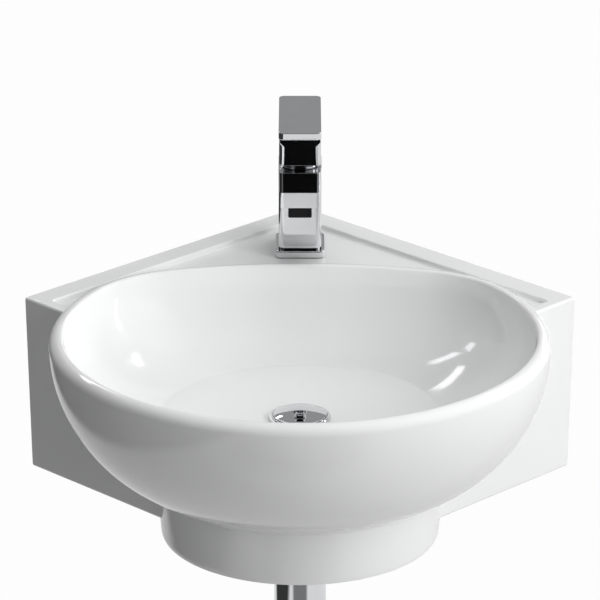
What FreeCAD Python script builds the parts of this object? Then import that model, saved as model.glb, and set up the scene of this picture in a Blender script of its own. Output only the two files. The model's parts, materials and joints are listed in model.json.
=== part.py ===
"""Corner basin with its mixer tap, click waste and bottle trap, in millimetres.

Origin: the corner where the two wall faces meet, at the height of the rim.
+Z up, the walls run off at 45 degrees towards -Y, the front of the bowl points to -Y.
"""
import FreeCAD, Part
import math
import os
import re
import Sketcher

Vector = FreeCAD.Vector
UP = Vector(0, 0, 1)

SIZES = [
    # the ceramic
    ("wall_side", 350, "length of the basin along each wall"),
    ("panel_draft", 4, "how much shorter the side is at the foot of the panel"),
    ("panel_drop", 168, "rim to the lower edge of the side panels"),
    ("panel_wall", 12, "thickness of the side panels"),
    ("back_wall", 14, "thickness of the two wall faces"),
    ("ledge_drop", 3, "rim to the ledge along the walls"),
    ("ledge_width", 24, "width of the ledge along the walls"),
    ("deck_drop", 8, "rim to the sunk tap deck"),
    ("deck_thickness", 13, "thickness of the tap deck"),
    ("rim_radius", 220, "outer radius of the bowl at the rim"),
    ("rim_gap", 21.1234, "rim to the wall faces, at the sides"),
    ("axis_setback", "=(rim_radius + rim_gap) * sqrt(2)", "wall corner to the axis of the bowl"),
    ("lip_width", 12.5, "width of the rim"),
    ("rim_back_radius", 443, "radius of the flatter rim behind"),
    ("rim_blend_radius", 112, "radius that joins the round rim to the flatter one"),
    ("lip_round", 9, "rounding of the rim's outer edge, seen from above"),
    ("bowl_side_radius", 132.5, "radius of the bowl's side seen from outside"),
    ("bowl_side_drop", 9, "upright part of the bowl's side under the rim"),
    ("shell_wall", 11, "thickness of the outer shell"),
    ("ring_radius", 127.5, "outer radius of the ring where it leaves the bowl"),
    ("ring_foot_radius", 123.5, "outer radius of the ring at its foot"),
    ("ring_drop", 188, "rim to the lower edge of the ring"),
    ("ring_height", 58, "height of the ring behind the panels"),
    ("ring_wall", 11, "thickness of the ring"),
    ("edge_round", 2.5, "rounding of the corner body's edges"),
    ("lip_inner_round", 2.5, "rounding of the rim's inner edge"),
    ("foot_round", 2.5, "rounding of the ring's foot"),
    ("floor_depth", 80, "rim to the foot of the inner wall"),
    ("floor_radius", 122, "radius of the bowl's floor"),
    ("floor_fall", 2.5, "fall of the floor to the waste"),
    ("bowl_wall", 12, "thickness of the inner bowl"),
    ("tap_hole_radius", 17.5, "tap hole"),
    ("waste_hole_radius", 22.5, "waste hole"),
    ("fixing_pcd", 200, "distance between the two fixing holes of a wall face"),
    ("fixing_radius", 6.5, "fixing hole"),
    ("fixing_drop", 55, "rim to the fixing holes"),
    # the tap, heights from the deck
    ("tap_setback", 107, "wall corner to the tap's axis"),
    ("gasket_thickness", 1, "gasket under the base plate"),
    ("gasket_inset", 2, "how much smaller the gasket is than the plate"),
    ("plate_thickness", 6, "base plate"),
    ("plate_width", 45.5, "base plate, side to side"),
    ("plate_depth", 54, "base plate, front to back"),
    ("rim_tap_gap", 26, "bowl's rim behind to the tap's base plate"),
    ("rim_back", "=axis_setback - tap_setback - plate_depth / 2 - rim_tap_gap",
     "bowl axis to the outer rim behind, at the middle"),
    ("plate_corner", 6, "corner radius of the base plate"),
    ("column_width", 39.5, "column, side to side"),
    ("column_depth", 46, "column, front to back"),
    ("column_corner", 6, "corner radius of the column"),
    ("column_height", 78.6, "base plate to the top of the column"),
    ("foot_inset", 1.5, "set-back of the shadow gap above the base plate"),
    ("foot_height", 2.2, "height of the shadow gap"),
    ("spigot_radius", 15, "spigot through the base plate"),
    ("spout_width", 38.5, "spout, side to side"),
    ("spout_height", 14.4, "spout, top to bottom"),
    ("spout_reach", 88.4, "tap axis to the front of the spout"),
    ("spout_corner", 5, "corner radius of the spout's front"),
    ("outlet_inset", 15.3, "front of the spout to the outlet's axis"),
    ("outlet_radius", 10.6, "recess for the aerator"),
    ("outlet_roof", 3.6, "metal over the aerator's recess"),
    ("channel_radius", 3, "water channel in the spout"),
    ("inlet_radius", 4.6, "threaded inlet port"),
    ("inlet_depth", 12, "depth of an inlet port"),
    ("inlet_spread", 6.8, "tap axis to an inlet port, side to side"),
    ("inlet_front", 4.8, "tap axis to an inlet port, front to back"),
    ("supply_radius", 2.4, "water way from an inlet port to the cartridge"),
    ("stud_radius", 4, "fixing stud"),
    ("stud_back", 8.6, "tap axis to the fixing stud"),
    ("stud_grip", 13, "length of stud screwed into the tap"),
    ("stud_hang", 62, "length of stud below the deck's top"),
    ("lever_gap", 3.4, "gap between column and lever"),
    ("lever_height", 53, "lever block, top to bottom"),
    ("lever_width", 38.5, "lever, side to side"),
    ("lever_reach", 88, "tap axis to the front of the lever"),
    ("lever_plate", 6.6, "thickness of the lever's front plate"),
    ("lever_corner", 6, "corner radius of the lever"),
    ("lever_throat", 28, "radius under the lever's front plate"),
    ("lever_roof", 6, "metal over the lever's cavity"),
    ("cavity_radius", 17.4, "cavity in the lever"),
    ("boss_radius", 9, "boss around the stem"),
    ("lift_angle", 25, "how far the lever lifts, in degrees"),
    ("pivot_rise", 1.5, "top of the column to the lever's pivot"),
    # the cartridge
    ("nut_radius", 15.5, "thread of the cartridge nut in the column"),
    ("nut_thread", 4, "depth of the nut's thread"),
    ("nut_collar_radius", 13.8, "part of the nut above the column"),
    ("nut_collar", 1.6, "height of that part"),
    ("cartridge_radius", 14, "cartridge housing"),
    ("cartridge_floor_rise", 35.5, "top of the column to the cartridge's seat"),
    ("gallery_depth", 19.5, "depth of the wide part of the column's bore"),
    ("seal_rise", 6, "seat to the seal round the cartridge"),
    ("seal_height", 2.4, "height of that seal"),
    ("seal_depth", 1.6, "depth of its groove"),
    ("chamber_radius", 11.5, "chamber in the cartridge"),
    ("chamber_floor", 6, "thickness of the cartridge's floor"),
    ("shoulder_thickness", 2, "shoulder over the chamber"),
    ("neck_radius", 9.2, "neck of the cartridge housing"),
    ("rotor_radius", 8, "rotor in the neck"),
    ("rotor_rise", 3, "pivot to the top of the rotor"),
    ("rotor_flange_radius", 10, "flange that holds the rotor in"),
    ("rotor_flange", 1.2, "thickness of that flange"),
    ("pin_radius", 1.5, "pivot pin"),
    ("stem_low", 5, "width of the stem below the pivot"),
    ("stem_high", 8, "width of the stem above the rotor"),
    ("stem_arm", 10, "pivot to the ball at the stem's foot"),
    ("ball_radius", 2.4, "ball at the stem's foot"),
    ("stem_top_rise", 36, "pivot to the top of the stem"),
    ("boss_rise", 18.5, "pivot to the lower end of the lever's boss"),
    ("disc_thickness", 3, "fixed ceramic disc"),
    ("carrier_radius", 6.8, "moving ceramic disc"),
    ("dome_radius", 16.2, "dome over the cartridge"),
    ("dome_wall", 1.5, "thickness of the dome"),
    ("dome_opening", 53, "half angle of the dome's opening, in degrees"),
    ("screw_radius", 2.5, "grub screw"),
    ("screw_rise", 27, "pivot to the grub screw"),
    ("plug_radius", 3.2, "plug over the grub screw"),
    ("plug_length", 1.7, "length of that plug"),
    # the aerator
    ("aerator_neck", 3.4, "thread of the aerator in the spout"),
    ("aerator_drop", 11, "height of the aerator under the spout"),
    ("aerator_width", 21.4, "square block of the aerator under the spout"),
    ("aerator_corner", 2, "corner radius of that block"),
    ("aerator_bore", 8.6, "bore of the aerator"),
    ("aerator_seal", 1.2, "seal over the aerator"),
    ("strainer_hole", 0.9, "holes of the strainer"),
    ("strainer_pitch", 3, "distance between the circles of those holes"),
    # fixing under the deck
    ("horseshoe_radius", 23, "outer radius of the horseshoe pieces"),
    ("horseshoe_gasket", 3, "thickness of the horseshoe gasket"),
    ("horseshoe_plate", 2.5, "thickness of the horseshoe plate"),
    ("stud_nut_width", 13, "fixing nut across flats"),
    ("stud_nut_height", 14, "height of the fixing nut"),
    # the waste, heights from the floor around it
    ("flange_radius", 27.4, "waste flange"),
    ("flange_height", 3.2, "height of the flange"),
    ("flange_lip", 3.2, "width of the flange's raised lip"),
    ("top_seal", 1, "seal under the flange"),
    ("tail_radius", 20.9, "threaded tail of the waste"),
    ("tail_bore", 17.4, "bore of the tail"),
    ("tail_length", 58, "floor to the end of the tail"),
    ("spider_drop", 26, "floor to the top of the cross that holds the click sleeve"),
    ("spider_height", 8, "height of the cross"),
    ("spider_arm", 4, "width of an arm of the cross"),
    ("hub_radius", 10, "hub of the cross"),
    ("sleeve_radius", 7, "click sleeve"),
    ("sleeve_bore", 4.55, "bore of the click sleeve"),
    ("sleeve_length", 34, "length of the click sleeve"),
    ("sleeve_rise", 8, "click sleeve above the cross"),
    ("plunger_radius", 4.5, "plunger"),
    ("plug_edge", 1.6, "height of the plug's edge"),
    ("plug_dome", 3.2, "rise of the plug's dome"),
    ("plug_gap", 0.5, "gap around the plug"),
    ("plug_seal", 1.1, "thickness of the plug's seal"),
    ("plug_travel", 8, "how far the plug rises"),
    ("lower_seal", 5, "seal under the ceramic"),
    ("lower_seal_width", 10, "width of that seal round the tail"),
    ("waste_washer", 2, "washer under that seal"),
    ("backnut_height", 9, "height of the back nut"),
    ("backnut_width", 54, "back nut across flats"),
    ("spring_wire", 0.9, "wire of the plunger's spring"),
    ("spring_radius", 3.2, "middle radius of that spring"),
    ("spring_turns", 5, "turns of that spring"),
    # the trap
    ("pipe_radius", 16, "dip tube and outlet pipe"),
    ("pipe_wall", 1.2, "wall of those tubes"),
    ("trap_radius", 23.2, "bottle of the trap"),
    ("trap_wall", 1.6, "wall of the bottle"),
    ("trap_top_drop", 180.5, "rim to the top of the bottle"),
    ("trap_length", 143, "bottle without its cup"),
    ("cup_height", 20, "cup under the bottle"),
    ("cup_thread", 10, "part of the cup inside the bottle"),
    ("cup_seal", 1.5, "seal between cup and bottle"),
    ("dip_clearance", 20, "dip tube to the bottom of the cup's thread"),
    ("inlet_nut_radius", 24.5, "nut at the waste's tail"),
    ("inlet_nut_grip", 17, "thread of that nut"),
    ("nut_lip", 3.2, "lip of each trap nut"),
    ("tube_flange", 2.4, "flange on top of the dip tube"),
    ("inlet_washer", 2.6, "washer under the tail"),
    ("top_nut_radius", 26, "nut on top of the bottle"),
    ("top_nut_grip", 5.5, "thread of the top nut"),
    ("trap_seal", 4, "seals of the bottle"),
    ("outlet_drop", 205.5, "rim to the axis of the outlet"),
    ("branch_radius", 19, "branch of the bottle"),
    ("branch_reach", 42, "trap axis to the end of the branch"),
    ("outlet_nut_radius", 22.5, "nut on the branch"),
    ("outlet_nut_grip", 9, "thread of the outlet nut"),
    ("pipe_entry", 30, "trap axis to the pipe's end in the branch"),
    ("pipe_stub", 20, "pipe beyond the wall face"),
    ("mark_width", 1, "groove that marks how far the pipe goes into the wall"),
    ("mark_depth", 0.4, "depth of that groove"),
    ("rosette_radius", 24, "wall rosette"),
    ("rosette_depth", 9, "depth of the rosette"),
    ("rosette_wall", 1.2, "wall of the rosette"),
    # fits
    ("fit_gap", 0.05, "radial clearance of a running or threaded fit"),
    ("free_gap", 0.3, "clearance of pieces that pass each other"),
    ("open_gap", 0.6, "clearance of a pipe through a loose hole"),
]

doc = FreeCAD.newDocument("corner_basin")
sheet = doc.addObject("Spreadsheet::Sheet", "Sizes")
for row, (alias, number, meaning) in enumerate(SIZES, start=1):
    sheet.set("A%d" % row, meaning)
    sheet.set("B%d" % row, str(number))
    sheet.setAlias("B%d" % row, alias)
doc.recompute()
ALIASES = {alias for alias, number, meaning in SIZES}


def size(alias):
    """The number in the sheet's cell of that name."""
    return float(sheet.get(alias))


def bound(words):
    """An expression in which the names of sizes point to the sheet."""
    return re.sub(r"[a-z_]+", lambda m: "Sizes." + m.group(0) if m.group(0) in ALIASES else m.group(0), words)


DECK = "-deck_drop"
TAP_Y = "-tap_setback"
COLUMN_FOOT = "-deck_drop + gasket_thickness + plate_thickness"
COLUMN_TOP = COLUMN_FOOT + " + column_height"
PIVOT = COLUMN_TOP + " + pivot_rise"
CARTRIDGE_FLOOR = COLUMN_TOP + " - cartridge_floor_rise"
SHOULDER = COLUMN_TOP + " - nut_thread"
SPOUT_FOOT = COLUMN_TOP + " - spout_height"
OUTLET_Y = "-tap_setback - spout_reach + outlet_inset"
BOWL_Y = "-axis_setback"
SEAT = "-floor_depth - floor_fall"
TRAP_TOP = "-trap_top_drop"
TRAP_FOOT = "-trap_top_drop - trap_length"

tap_y = -size("tap_setback")
bowl_y = -size("axis_setback")
column_foot = size("gasket_thickness") + size("plate_thickness") - size("deck_drop")
column_top = column_foot + size("column_height")
pivot_z = column_top + size("pivot_rise")
seat_z = -size("floor_depth") - size("floor_fall")
wall_distance = size("axis_setback") / math.sqrt(2)


# ---------------------------------------------------------------- helpers

def place(thing, x="0", y="0", z="0"):
    """Bind a piece's place to the sheet."""
    for axis, words in zip("xyz", (x, y, z)):
        thing.setExpression("Placement.Base." + axis, bound(words))
    return thing


def cylinder(name, radius, height, x="0", y="0", z="0"):
    """An upright cylinder standing on z."""
    thing = doc.addObject("Part::Cylinder", name)
    thing.setExpression("Radius", bound(radius))
    thing.setExpression("Height", bound(height))
    return place(thing, x, y, z)


def box(name, width, depth, height, x="0", y="0", z="0"):
    """A block centred on x and y, standing on z."""
    thing = doc.addObject("Part::Box", name)
    thing.setExpression("Length", bound(width))
    thing.setExpression("Width", bound(depth))
    thing.setExpression("Height", bound(height))
    return place(thing, "%s - (%s) / 2" % (x, width), "%s - (%s) / 2" % (y, depth), z)


def lying(name, radius, length, direction, x, y, z):
    """A cylinder that starts at x, y, z and runs along a direction."""
    thing = doc.addObject("Part::Cylinder", name)
    thing.setExpression("Radius", bound(radius))
    thing.setExpression("Height", bound(length))
    thing.Placement.Rotation = FreeCAD.Rotation(UP, Vector(*direction))
    return place(thing, x, y, z)


def cut(name, base, *tools):
    """A piece less one or more others."""
    tool = tools[0] if len(tools) == 1 else fuse(name + "_tools", *tools)
    thing = doc.addObject("Part::Cut", name)
    thing.Base = base
    thing.Tool = tool
    return thing


def fuse(name, *pieces):
    """Several pieces as one."""
    thing = doc.addObject("Part::MultiFuse", name)
    thing.Shapes = list(pieces)
    thing.Refine = True
    return thing


def feature(name, shape):
    """A shape built from the sheet's numbers."""
    thing = doc.addObject("Part::Feature", name)
    thing.Shape = shape
    return thing


def rounded(name, base, radius, wanted):
    """Round the edges that wanted(edge) picks."""
    doc.recompute()
    thing = doc.addObject("Part::Fillet", name)
    thing.Base = base
    edges = [i for i, edge in enumerate(base.Shape.Edges, start=1) if wanted(edge)]
    thing.Edges = [(i, radius, radius) for i in edges]
    return thing


def upright(edge):
    """True for a straight edge along Z."""
    ends = edge.Vertexes
    return len(ends) == 2 and abs(ends[0].Z - ends[1].Z) > edge.Length - 1e-6


def turned(name, points, x="0", y="0", z="0", direction=None):
    """A body turned about its own Z axis from (radius, height) points."""
    body = doc.addObject("PartDesign::Body", name)
    plane = next(f for f in body.Origin.OriginFeatures if f.Role == "XZ_Plane")
    sketch = body.newObject("Sketcher::SketchObject", name + "_profile")
    sketch.AttachmentSupport = [(plane, "")]
    sketch.MapMode = "FlatFace"
    draw_polygon(sketch, points)
    turn = body.newObject("PartDesign::Revolution", name + "_turn")
    turn.Profile = sketch
    turn.ReferenceAxis = (sketch, ["V_Axis"])
    turn.Angle = 360
    if direction:
        body.Placement.Rotation = FreeCAD.Rotation(UP, Vector(*direction))
    return place(body, x, y, z)


def draw_polygon(sketch, points):
    """Straight lines through points whose places are bound to the sheet."""
    count = len(points)
    start = [Vector(10 + 5 * math.cos(2 * math.pi * i / count), 5 * math.sin(2 * math.pi * i / count), 0)
             for i in range(count)]
    for i in range(count):
        sketch.addGeometry(Part.LineSegment(start[i], start[(i + 1) % count]), False)
    for i in range(count):
        sketch.addConstraint(Sketcher.Constraint("Coincident", i, 2, (i + 1) % count, 1))
    for i, (across, along) in enumerate(points):
        for kind, words, value in (("DistanceX", across, start[i].x), ("DistanceY", along, start[i].y)):
            index = sketch.addConstraint(Sketcher.Constraint(kind, -1, 1, i, 1, value))
            sketch.setExpression("Constraints[%d]" % index, bound(words))


def ring(name, outer, inner, height, x="0", y="0", z="0", direction=None):
    """A plain ring standing on z."""
    points = [(inner, "0"), (outer, "0"), (outer, height), (inner, height)]
    return turned(name, points, x, y, z, direction)


def hexagon(name, flats, height, bore, x="0", y="0", z="0"):
    """A hexagonal nut with a plain bore."""
    prism = doc.addObject("Part::Prism", name + "_prism")
    prism.Polygon = 6
    prism.setExpression("Circumradius", bound("(%s) / 2 / cos(30)" % flats))
    prism.setExpression("Height", bound(height))
    place(prism, x, y, z)
    hole = cylinder(name + "_hole", bore, "(%s) + 2" % height, x, y, "%s - 1" % z)
    return cut(name, prism, hole)


NODES = []


def node(name, thing):
    """Give a finished piece its name."""
    thing.Label = name
    NODES.append((name, thing))
    return thing


# ---------------------------------------------------------------- ceramic

def outline(front, back, back_radius, blend, z):
    """A round outline with a flatter arc behind, about the bowl's axis."""
    back_centre = back - back_radius
    reach = front - blend
    rest = back_radius - blend
    middle_y = (reach ** 2 - rest ** 2 + back_centre ** 2) / (2 * back_centre)
    middle_x = math.sqrt(reach ** 2 - middle_y ** 2)
    front_x = middle_x * front / reach
    front_y = middle_y * front / reach
    back_x = middle_x * back_radius / rest
    back_y = back_centre + (middle_y - back_centre) * back_radius / rest
    lean = (math.atan2(front_y, front_x) + math.atan2(back_y - back_centre, back_x)) / 2
    blend_x = middle_x + blend * math.cos(lean)
    blend_y = middle_y + blend * math.sin(lean)

    def at(x, y):
        return Vector(x, bowl_y + y, z)

    return Part.Wire([
        Part.Arc(at(-front_x, front_y), at(0, -front), at(front_x, front_y)).toShape(),
        Part.Arc(at(front_x, front_y), at(blend_x, blend_y), at(back_x, back_y)).toShape(),
        Part.Arc(at(back_x, back_y), at(0, back), at(-back_x, back_y)).toShape(),
        Part.Arc(at(-back_x, back_y), at(-blend_x, blend_y), at(-front_x, front_y)).toShape(),
    ])


def rim_outline(inward, z):
    """The rim's outer outline, moved inward."""
    return outline(size("rim_radius") - inward, size("rim_back") - inward,
                   size("rim_back_radius") - inward, size("rim_blend_radius") - inward, z)


def bowl_inside(grow):
    """The hollow of the bowl, or with grow the same form that much larger."""
    depth = size("floor_depth")
    floor = size("floor_radius")
    rim_front = size("rim_radius") - size("lip_width")
    rim_back = size("rim_back") - size("lip_width")
    rim_arc = size("rim_back_radius") - size("lip_width")
    rim_blend = size("rim_blend_radius") - size("lip_width")
    sections = []
    steps = 7
    for step in range(steps + 1):
        along = step / steps
        bend = 2 * along * (1 - along)
        sunk = 0.66 * bend + along ** 2
        drawn = 0.05 * bend + along ** 2 * 0.97
        front = rim_front + (floor - rim_front) * drawn + grow
        back = rim_back + (floor - rim_back) * drawn + grow
        arc = rim_arc + (floor * 1.3 - rim_arc) * drawn + grow
        blend = rim_blend + (floor * 0.6 - rim_blend) * drawn + grow
        sections.append(outline(front, back, arc, blend, -(depth + grow) * sunk))
    wall = Part.makeLoft(sections, True, False)
    mouth = Part.Face(sections[0]).extrude(Vector(0, 0, 5))
    return wall.fuse(mouth)


def rim_flare():
    """What the rounding of the rim's inner edge takes away."""
    radius = size("lip_inner_round")
    sections = []
    for step in range(5):
        turn = math.pi / 8 * step
        inward = size("lip_width") - radius * (1 - math.sin(turn))
        sections.append(rim_outline(inward, radius * (math.cos(turn) - 1)))
    return Part.makeLoft(sections, True, False)


def rim_crown():
    """The top of the bowl, rounded from its upright side up to the rim."""
    sections = []
    for step in range(9):
        turn = math.pi / 16 * step
        inward = size("lip_round") * (1 - math.cos(turn))
        sections.append(rim_outline(inward, size("bowl_side_drop") * (math.sin(turn) - 1)))
    return Part.makeLoft(sections, True, False)


def bowl_floor(grow):
    """The shallow cone of the bowl's floor down to the flat seat of the waste."""
    top = -size("floor_depth") - grow
    low = seat_z - grow
    seat = size("flange_radius") + 3 + grow
    edge = size("floor_radius") * 0.97
    points = [Vector(0, 0, top + 1), Vector(edge, 0, top + 1), Vector(edge, 0, top), Vector(seat, 0, low),
              Vector(0, 0, low)]
    face = Part.Face(Part.makePolygon(points + points[:1]))
    cone = face.revolve(Vector(0, 0, 0), UP, 360)
    cone.translate(Vector(0, bowl_y, 0))
    return cone


def bowl_outside(inward, foot, top):
    """The round outer form from a level under the rim down to the ring, moved inward."""
    centre_r = size("rim_radius") - size("bowl_side_radius")
    centre_z = -size("bowl_side_drop")
    radius = size("bowl_side_radius") - inward
    wall = size("ring_wall") if inward else 0
    ring_r = size("ring_radius") - wall
    turn_end = math.acos((ring_r - centre_r) / radius)
    turn_start = math.asin((centre_z - top) / radius)

    def on_arc(angle):
        return Vector(centre_r + radius * math.cos(angle), 0, centre_z - radius * math.sin(angle))

    edges = [Part.Arc(on_arc(turn_start), on_arc((turn_start + turn_end) / 2), on_arc(turn_end)).toShape()]
    corners = [on_arc(turn_end), Vector(size("ring_foot_radius") - wall, 0, foot), Vector(0, 0, foot),
               Vector(0, 0, top), on_arc(turn_start)]
    for a, b in zip(corners, corners[1:]):
        edges.append(Part.LineSegment(a, b).toShape())
    face = Part.Face(Part.Wire(edges))
    form = face.revolve(Vector(0, 0, 0), UP, 360)
    form.translate(Vector(0, bowl_y, 0))
    return form


def square(back, side, z):
    """A square's corners in the corner of the room: back from both walls, side along them."""
    half = math.sqrt(0.5)
    corners = [(back, back), (side, back), (side, side), (back, side)]
    return [Vector((v - u) * half, -(u + v) * half, z) for u, v in corners]


def corner_block(back, side, top, foot, draft=0.0):
    """A block in the corner, drawn in by draft at its foot."""
    upper = square(back, side, top)
    lower = square(back, side - draft, foot)
    loops = [upper, lower]
    for i in range(4):
        j = (i + 1) % 4
        loops.append([upper[i], upper[j], lower[j], lower[i]])
    faces = [Part.Face(Part.makePolygon(loop + loop[:1])) for loop in loops]
    solid = Part.Solid(Part.Shell(faces))
    if solid.Volume < 0:
        solid.reverse()
    return solid


def on_outline(edge):
    """True for an edge of the corner body that is rounded: not the room's corner, not the trimmed one."""
    middle = edge.CenterOfMass
    back = (-middle.y - abs(middle.x)) * math.sqrt(0.5)
    out = (-middle.y + abs(middle.x)) * math.sqrt(0.5)
    return out > 1 and back < wall_distance - 1


def level(edge, z):
    """True for an edge that lies at one height."""
    places = [vertex.Z for vertex in edge.Vertexes] + [edge.CenterOfMass.z]
    return all(abs(place_z - z) < 0.01 for place_z in places)


def ring_band():
    """The ring's wall behind the panels, where the corner body is hollow."""
    low = -size("ring_drop") - 6
    high = -size("ring_drop") + size("ring_height")
    radius = size("ring_radius")
    taper = (radius - size("ring_foot_radius")) / size("ring_height")
    narrow = size("ring_foot_radius") - 6 * taper
    outer = Part.makeCone(narrow, radius, high - low, Vector(0, bowl_y, low))
    inner = Part.makeCone(narrow - size("ring_wall"), radius - size("ring_wall"), high - low,
                          Vector(0, bowl_y, low))
    return outer.cut(inner)


def basin():
    """The fired ceramic: bowl, corner body, tap deck and ring in one piece."""
    side = size("wall_side")
    foot = -size("panel_drop")
    ledge = -size("ledge_drop")
    deck = -size("deck_drop")
    under_deck = deck - size("deck_thickness")
    draft = size("panel_draft")

    inner_corner = corner_block(wall_distance, side + 50, 6, -size("ring_drop") - 6)
    block = corner_block(0, side, ledge, foot, draft).cut(inner_corner)
    block = block.makeFillet(size("edge_round"), [edge for edge in block.Edges if on_outline(edge)])
    sunk = corner_block(size("ledge_width"), side - size("panel_wall"), 5, deck)
    body = feature("corner_form", block.cut(sunk))
    outer = feature("bowl_outer_form", bowl_outside(0, -size("ring_drop"), -size("bowl_side_drop")))
    solid = fuse("outer_form", outer, feature("bowl_crown", rim_crown()), body)

    hollow = corner_block(size("back_wall"), side - size("panel_wall"), under_deck, foot - 5, draft)
    hollow = hollow.cut(inner_corner).cut(ring_band())
    hollow = hollow.fuse(bowl_outside(size("shell_wall"), -size("ring_drop") - 1, under_deck))
    thick = bowl_inside(size("bowl_wall")).fuse(bowl_floor(size("bowl_wall")))
    underside = feature("underside_hollow", hollow.cut(thick))
    inside = feature("bowl_hollow", bowl_inside(0).fuse([bowl_floor(0), rim_flare()]))

    tap_hole = cylinder("tap_hole", "tap_hole_radius", "60", "0", TAP_Y, "-50")
    waste_hole = cylinder("waste_hole", "waste_hole_radius", "60", "0", BOWL_Y, "-floor_depth - 50")
    holes = []
    for hand in (-1, 1):
        for step in (-1, 1):
            reach = "((wall_side + %d * fixing_pcd) / 2 * sqrt(0.5))" % step
            depth = "(2 * sqrt(0.5))"
            hole = lying("fixing_hole_%s%d" % ("lr"[hand > 0], step + 1), "fixing_radius", "back_wall + 4",
                         (-hand, -1, 0), "%d * (%s + %s)" % (hand, reach, depth),
                         "-%s + %s" % (reach, depth), "-fixing_drop")
            holes.append(hole)
    raw = cut("raw_basin", solid, underside, inside, tap_hole, waste_hole, *holes)
    footed = rounded("ring_rounded", raw, size("foot_round"), lambda edge: level(edge, -size("ring_drop")))
    return node("basin", footed)


# ---------------------------------------------------------------- tap

def tap_base():
    """The base plate with its gasket."""
    for name, height, foot in (("tap_base_gasket", "gasket_thickness", DECK),
                               ("tap_base_plate", "plate_thickness", DECK + " + gasket_thickness")):
        inset = " - gasket_inset" if name == "tap_base_gasket" else ""
        slab = box(name + "_slab", "plate_width" + inset, "plate_depth" + inset, height, "0", TAP_Y, foot)
        slab = rounded(name + "_corners", slab, size("plate_corner"), upright)
        hole = cylinder(name + "_hole", "spigot_radius + fit_gap", "20", "0", TAP_Y, "%s - 5" % foot)
        node(name, cut(name, slab, hole))


def tap_body():
    """Column and spout in one casting, with the cartridge's bore and the water ways."""
    block = box("column_block", "column_width", "column_depth", "column_height - foot_height", "0", TAP_Y,
                COLUMN_FOOT + " + foot_height")
    block = rounded("column_rounded", block, size("column_corner"), upright)
    foot = box("column_foot", "column_width - 2 * foot_inset", "column_depth - 2 * foot_inset",
               "foot_height + 1", "0", TAP_Y, COLUMN_FOOT)
    foot = rounded("column_foot_rounded", foot, size("column_corner") - size("foot_inset"), upright)
    spigot = cylinder("column_spigot", "spigot_radius", "gasket_thickness + plate_thickness + 1", "0", TAP_Y,
                      DECK)
    spout = box("spout_block", "spout_width", "spout_reach", "spout_height", "0",
                "-tap_setback - spout_reach / 2", SPOUT_FOOT)
    front = tap_y - size("spout_reach")
    spout = rounded("spout_rounded", spout, size("spout_corner"),
                    lambda edge: upright(edge) and edge.CenterOfMass.y < front + 1)
    solid = fuse("tap_body_solid", block, foot, spigot, spout)

    tools = [
        cylinder("cartridge_bore", "cartridge_radius + fit_gap", "cartridge_floor_rise + 1", "0", TAP_Y,
                 CARTRIDGE_FLOOR),
        cylinder("gallery_bore", "nut_radius + fit_gap", "gallery_depth + 1", "0", TAP_Y,
                 COLUMN_TOP + " - gallery_depth"),
        lying("spout_channel", "channel_radius", "spout_reach - outlet_inset", (0, -1, 0), "0", TAP_Y,
              COLUMN_TOP + " - outlet_roof - channel_radius"),
        cylinder("outlet_recess", "outlet_radius", "spout_height - outlet_roof + 1", "0", OUTLET_Y,
                 SPOUT_FOOT + " - 1"),
        cylinder("stud_hole", "stud_radius + fit_gap", "stud_grip + 1", "0", TAP_Y + " + stud_back",
                 DECK + " - 1"),
    ]
    for hand in (-1, 1):
        x = "%d * inlet_spread" % hand
        y = TAP_Y + " - inlet_front"
        tools.append(cylinder("inlet_port_%d" % (hand + 1), "inlet_radius", "inlet_depth + 1", x, y, DECK + " - 1"))
        tools.append(cylinder("supply_way_%d" % (hand + 1), "supply_radius",
                              "column_height - cartridge_floor_rise + 8", x, y, DECK))
    node("tap_body", cut("tap_body", solid, *tools))


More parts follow.
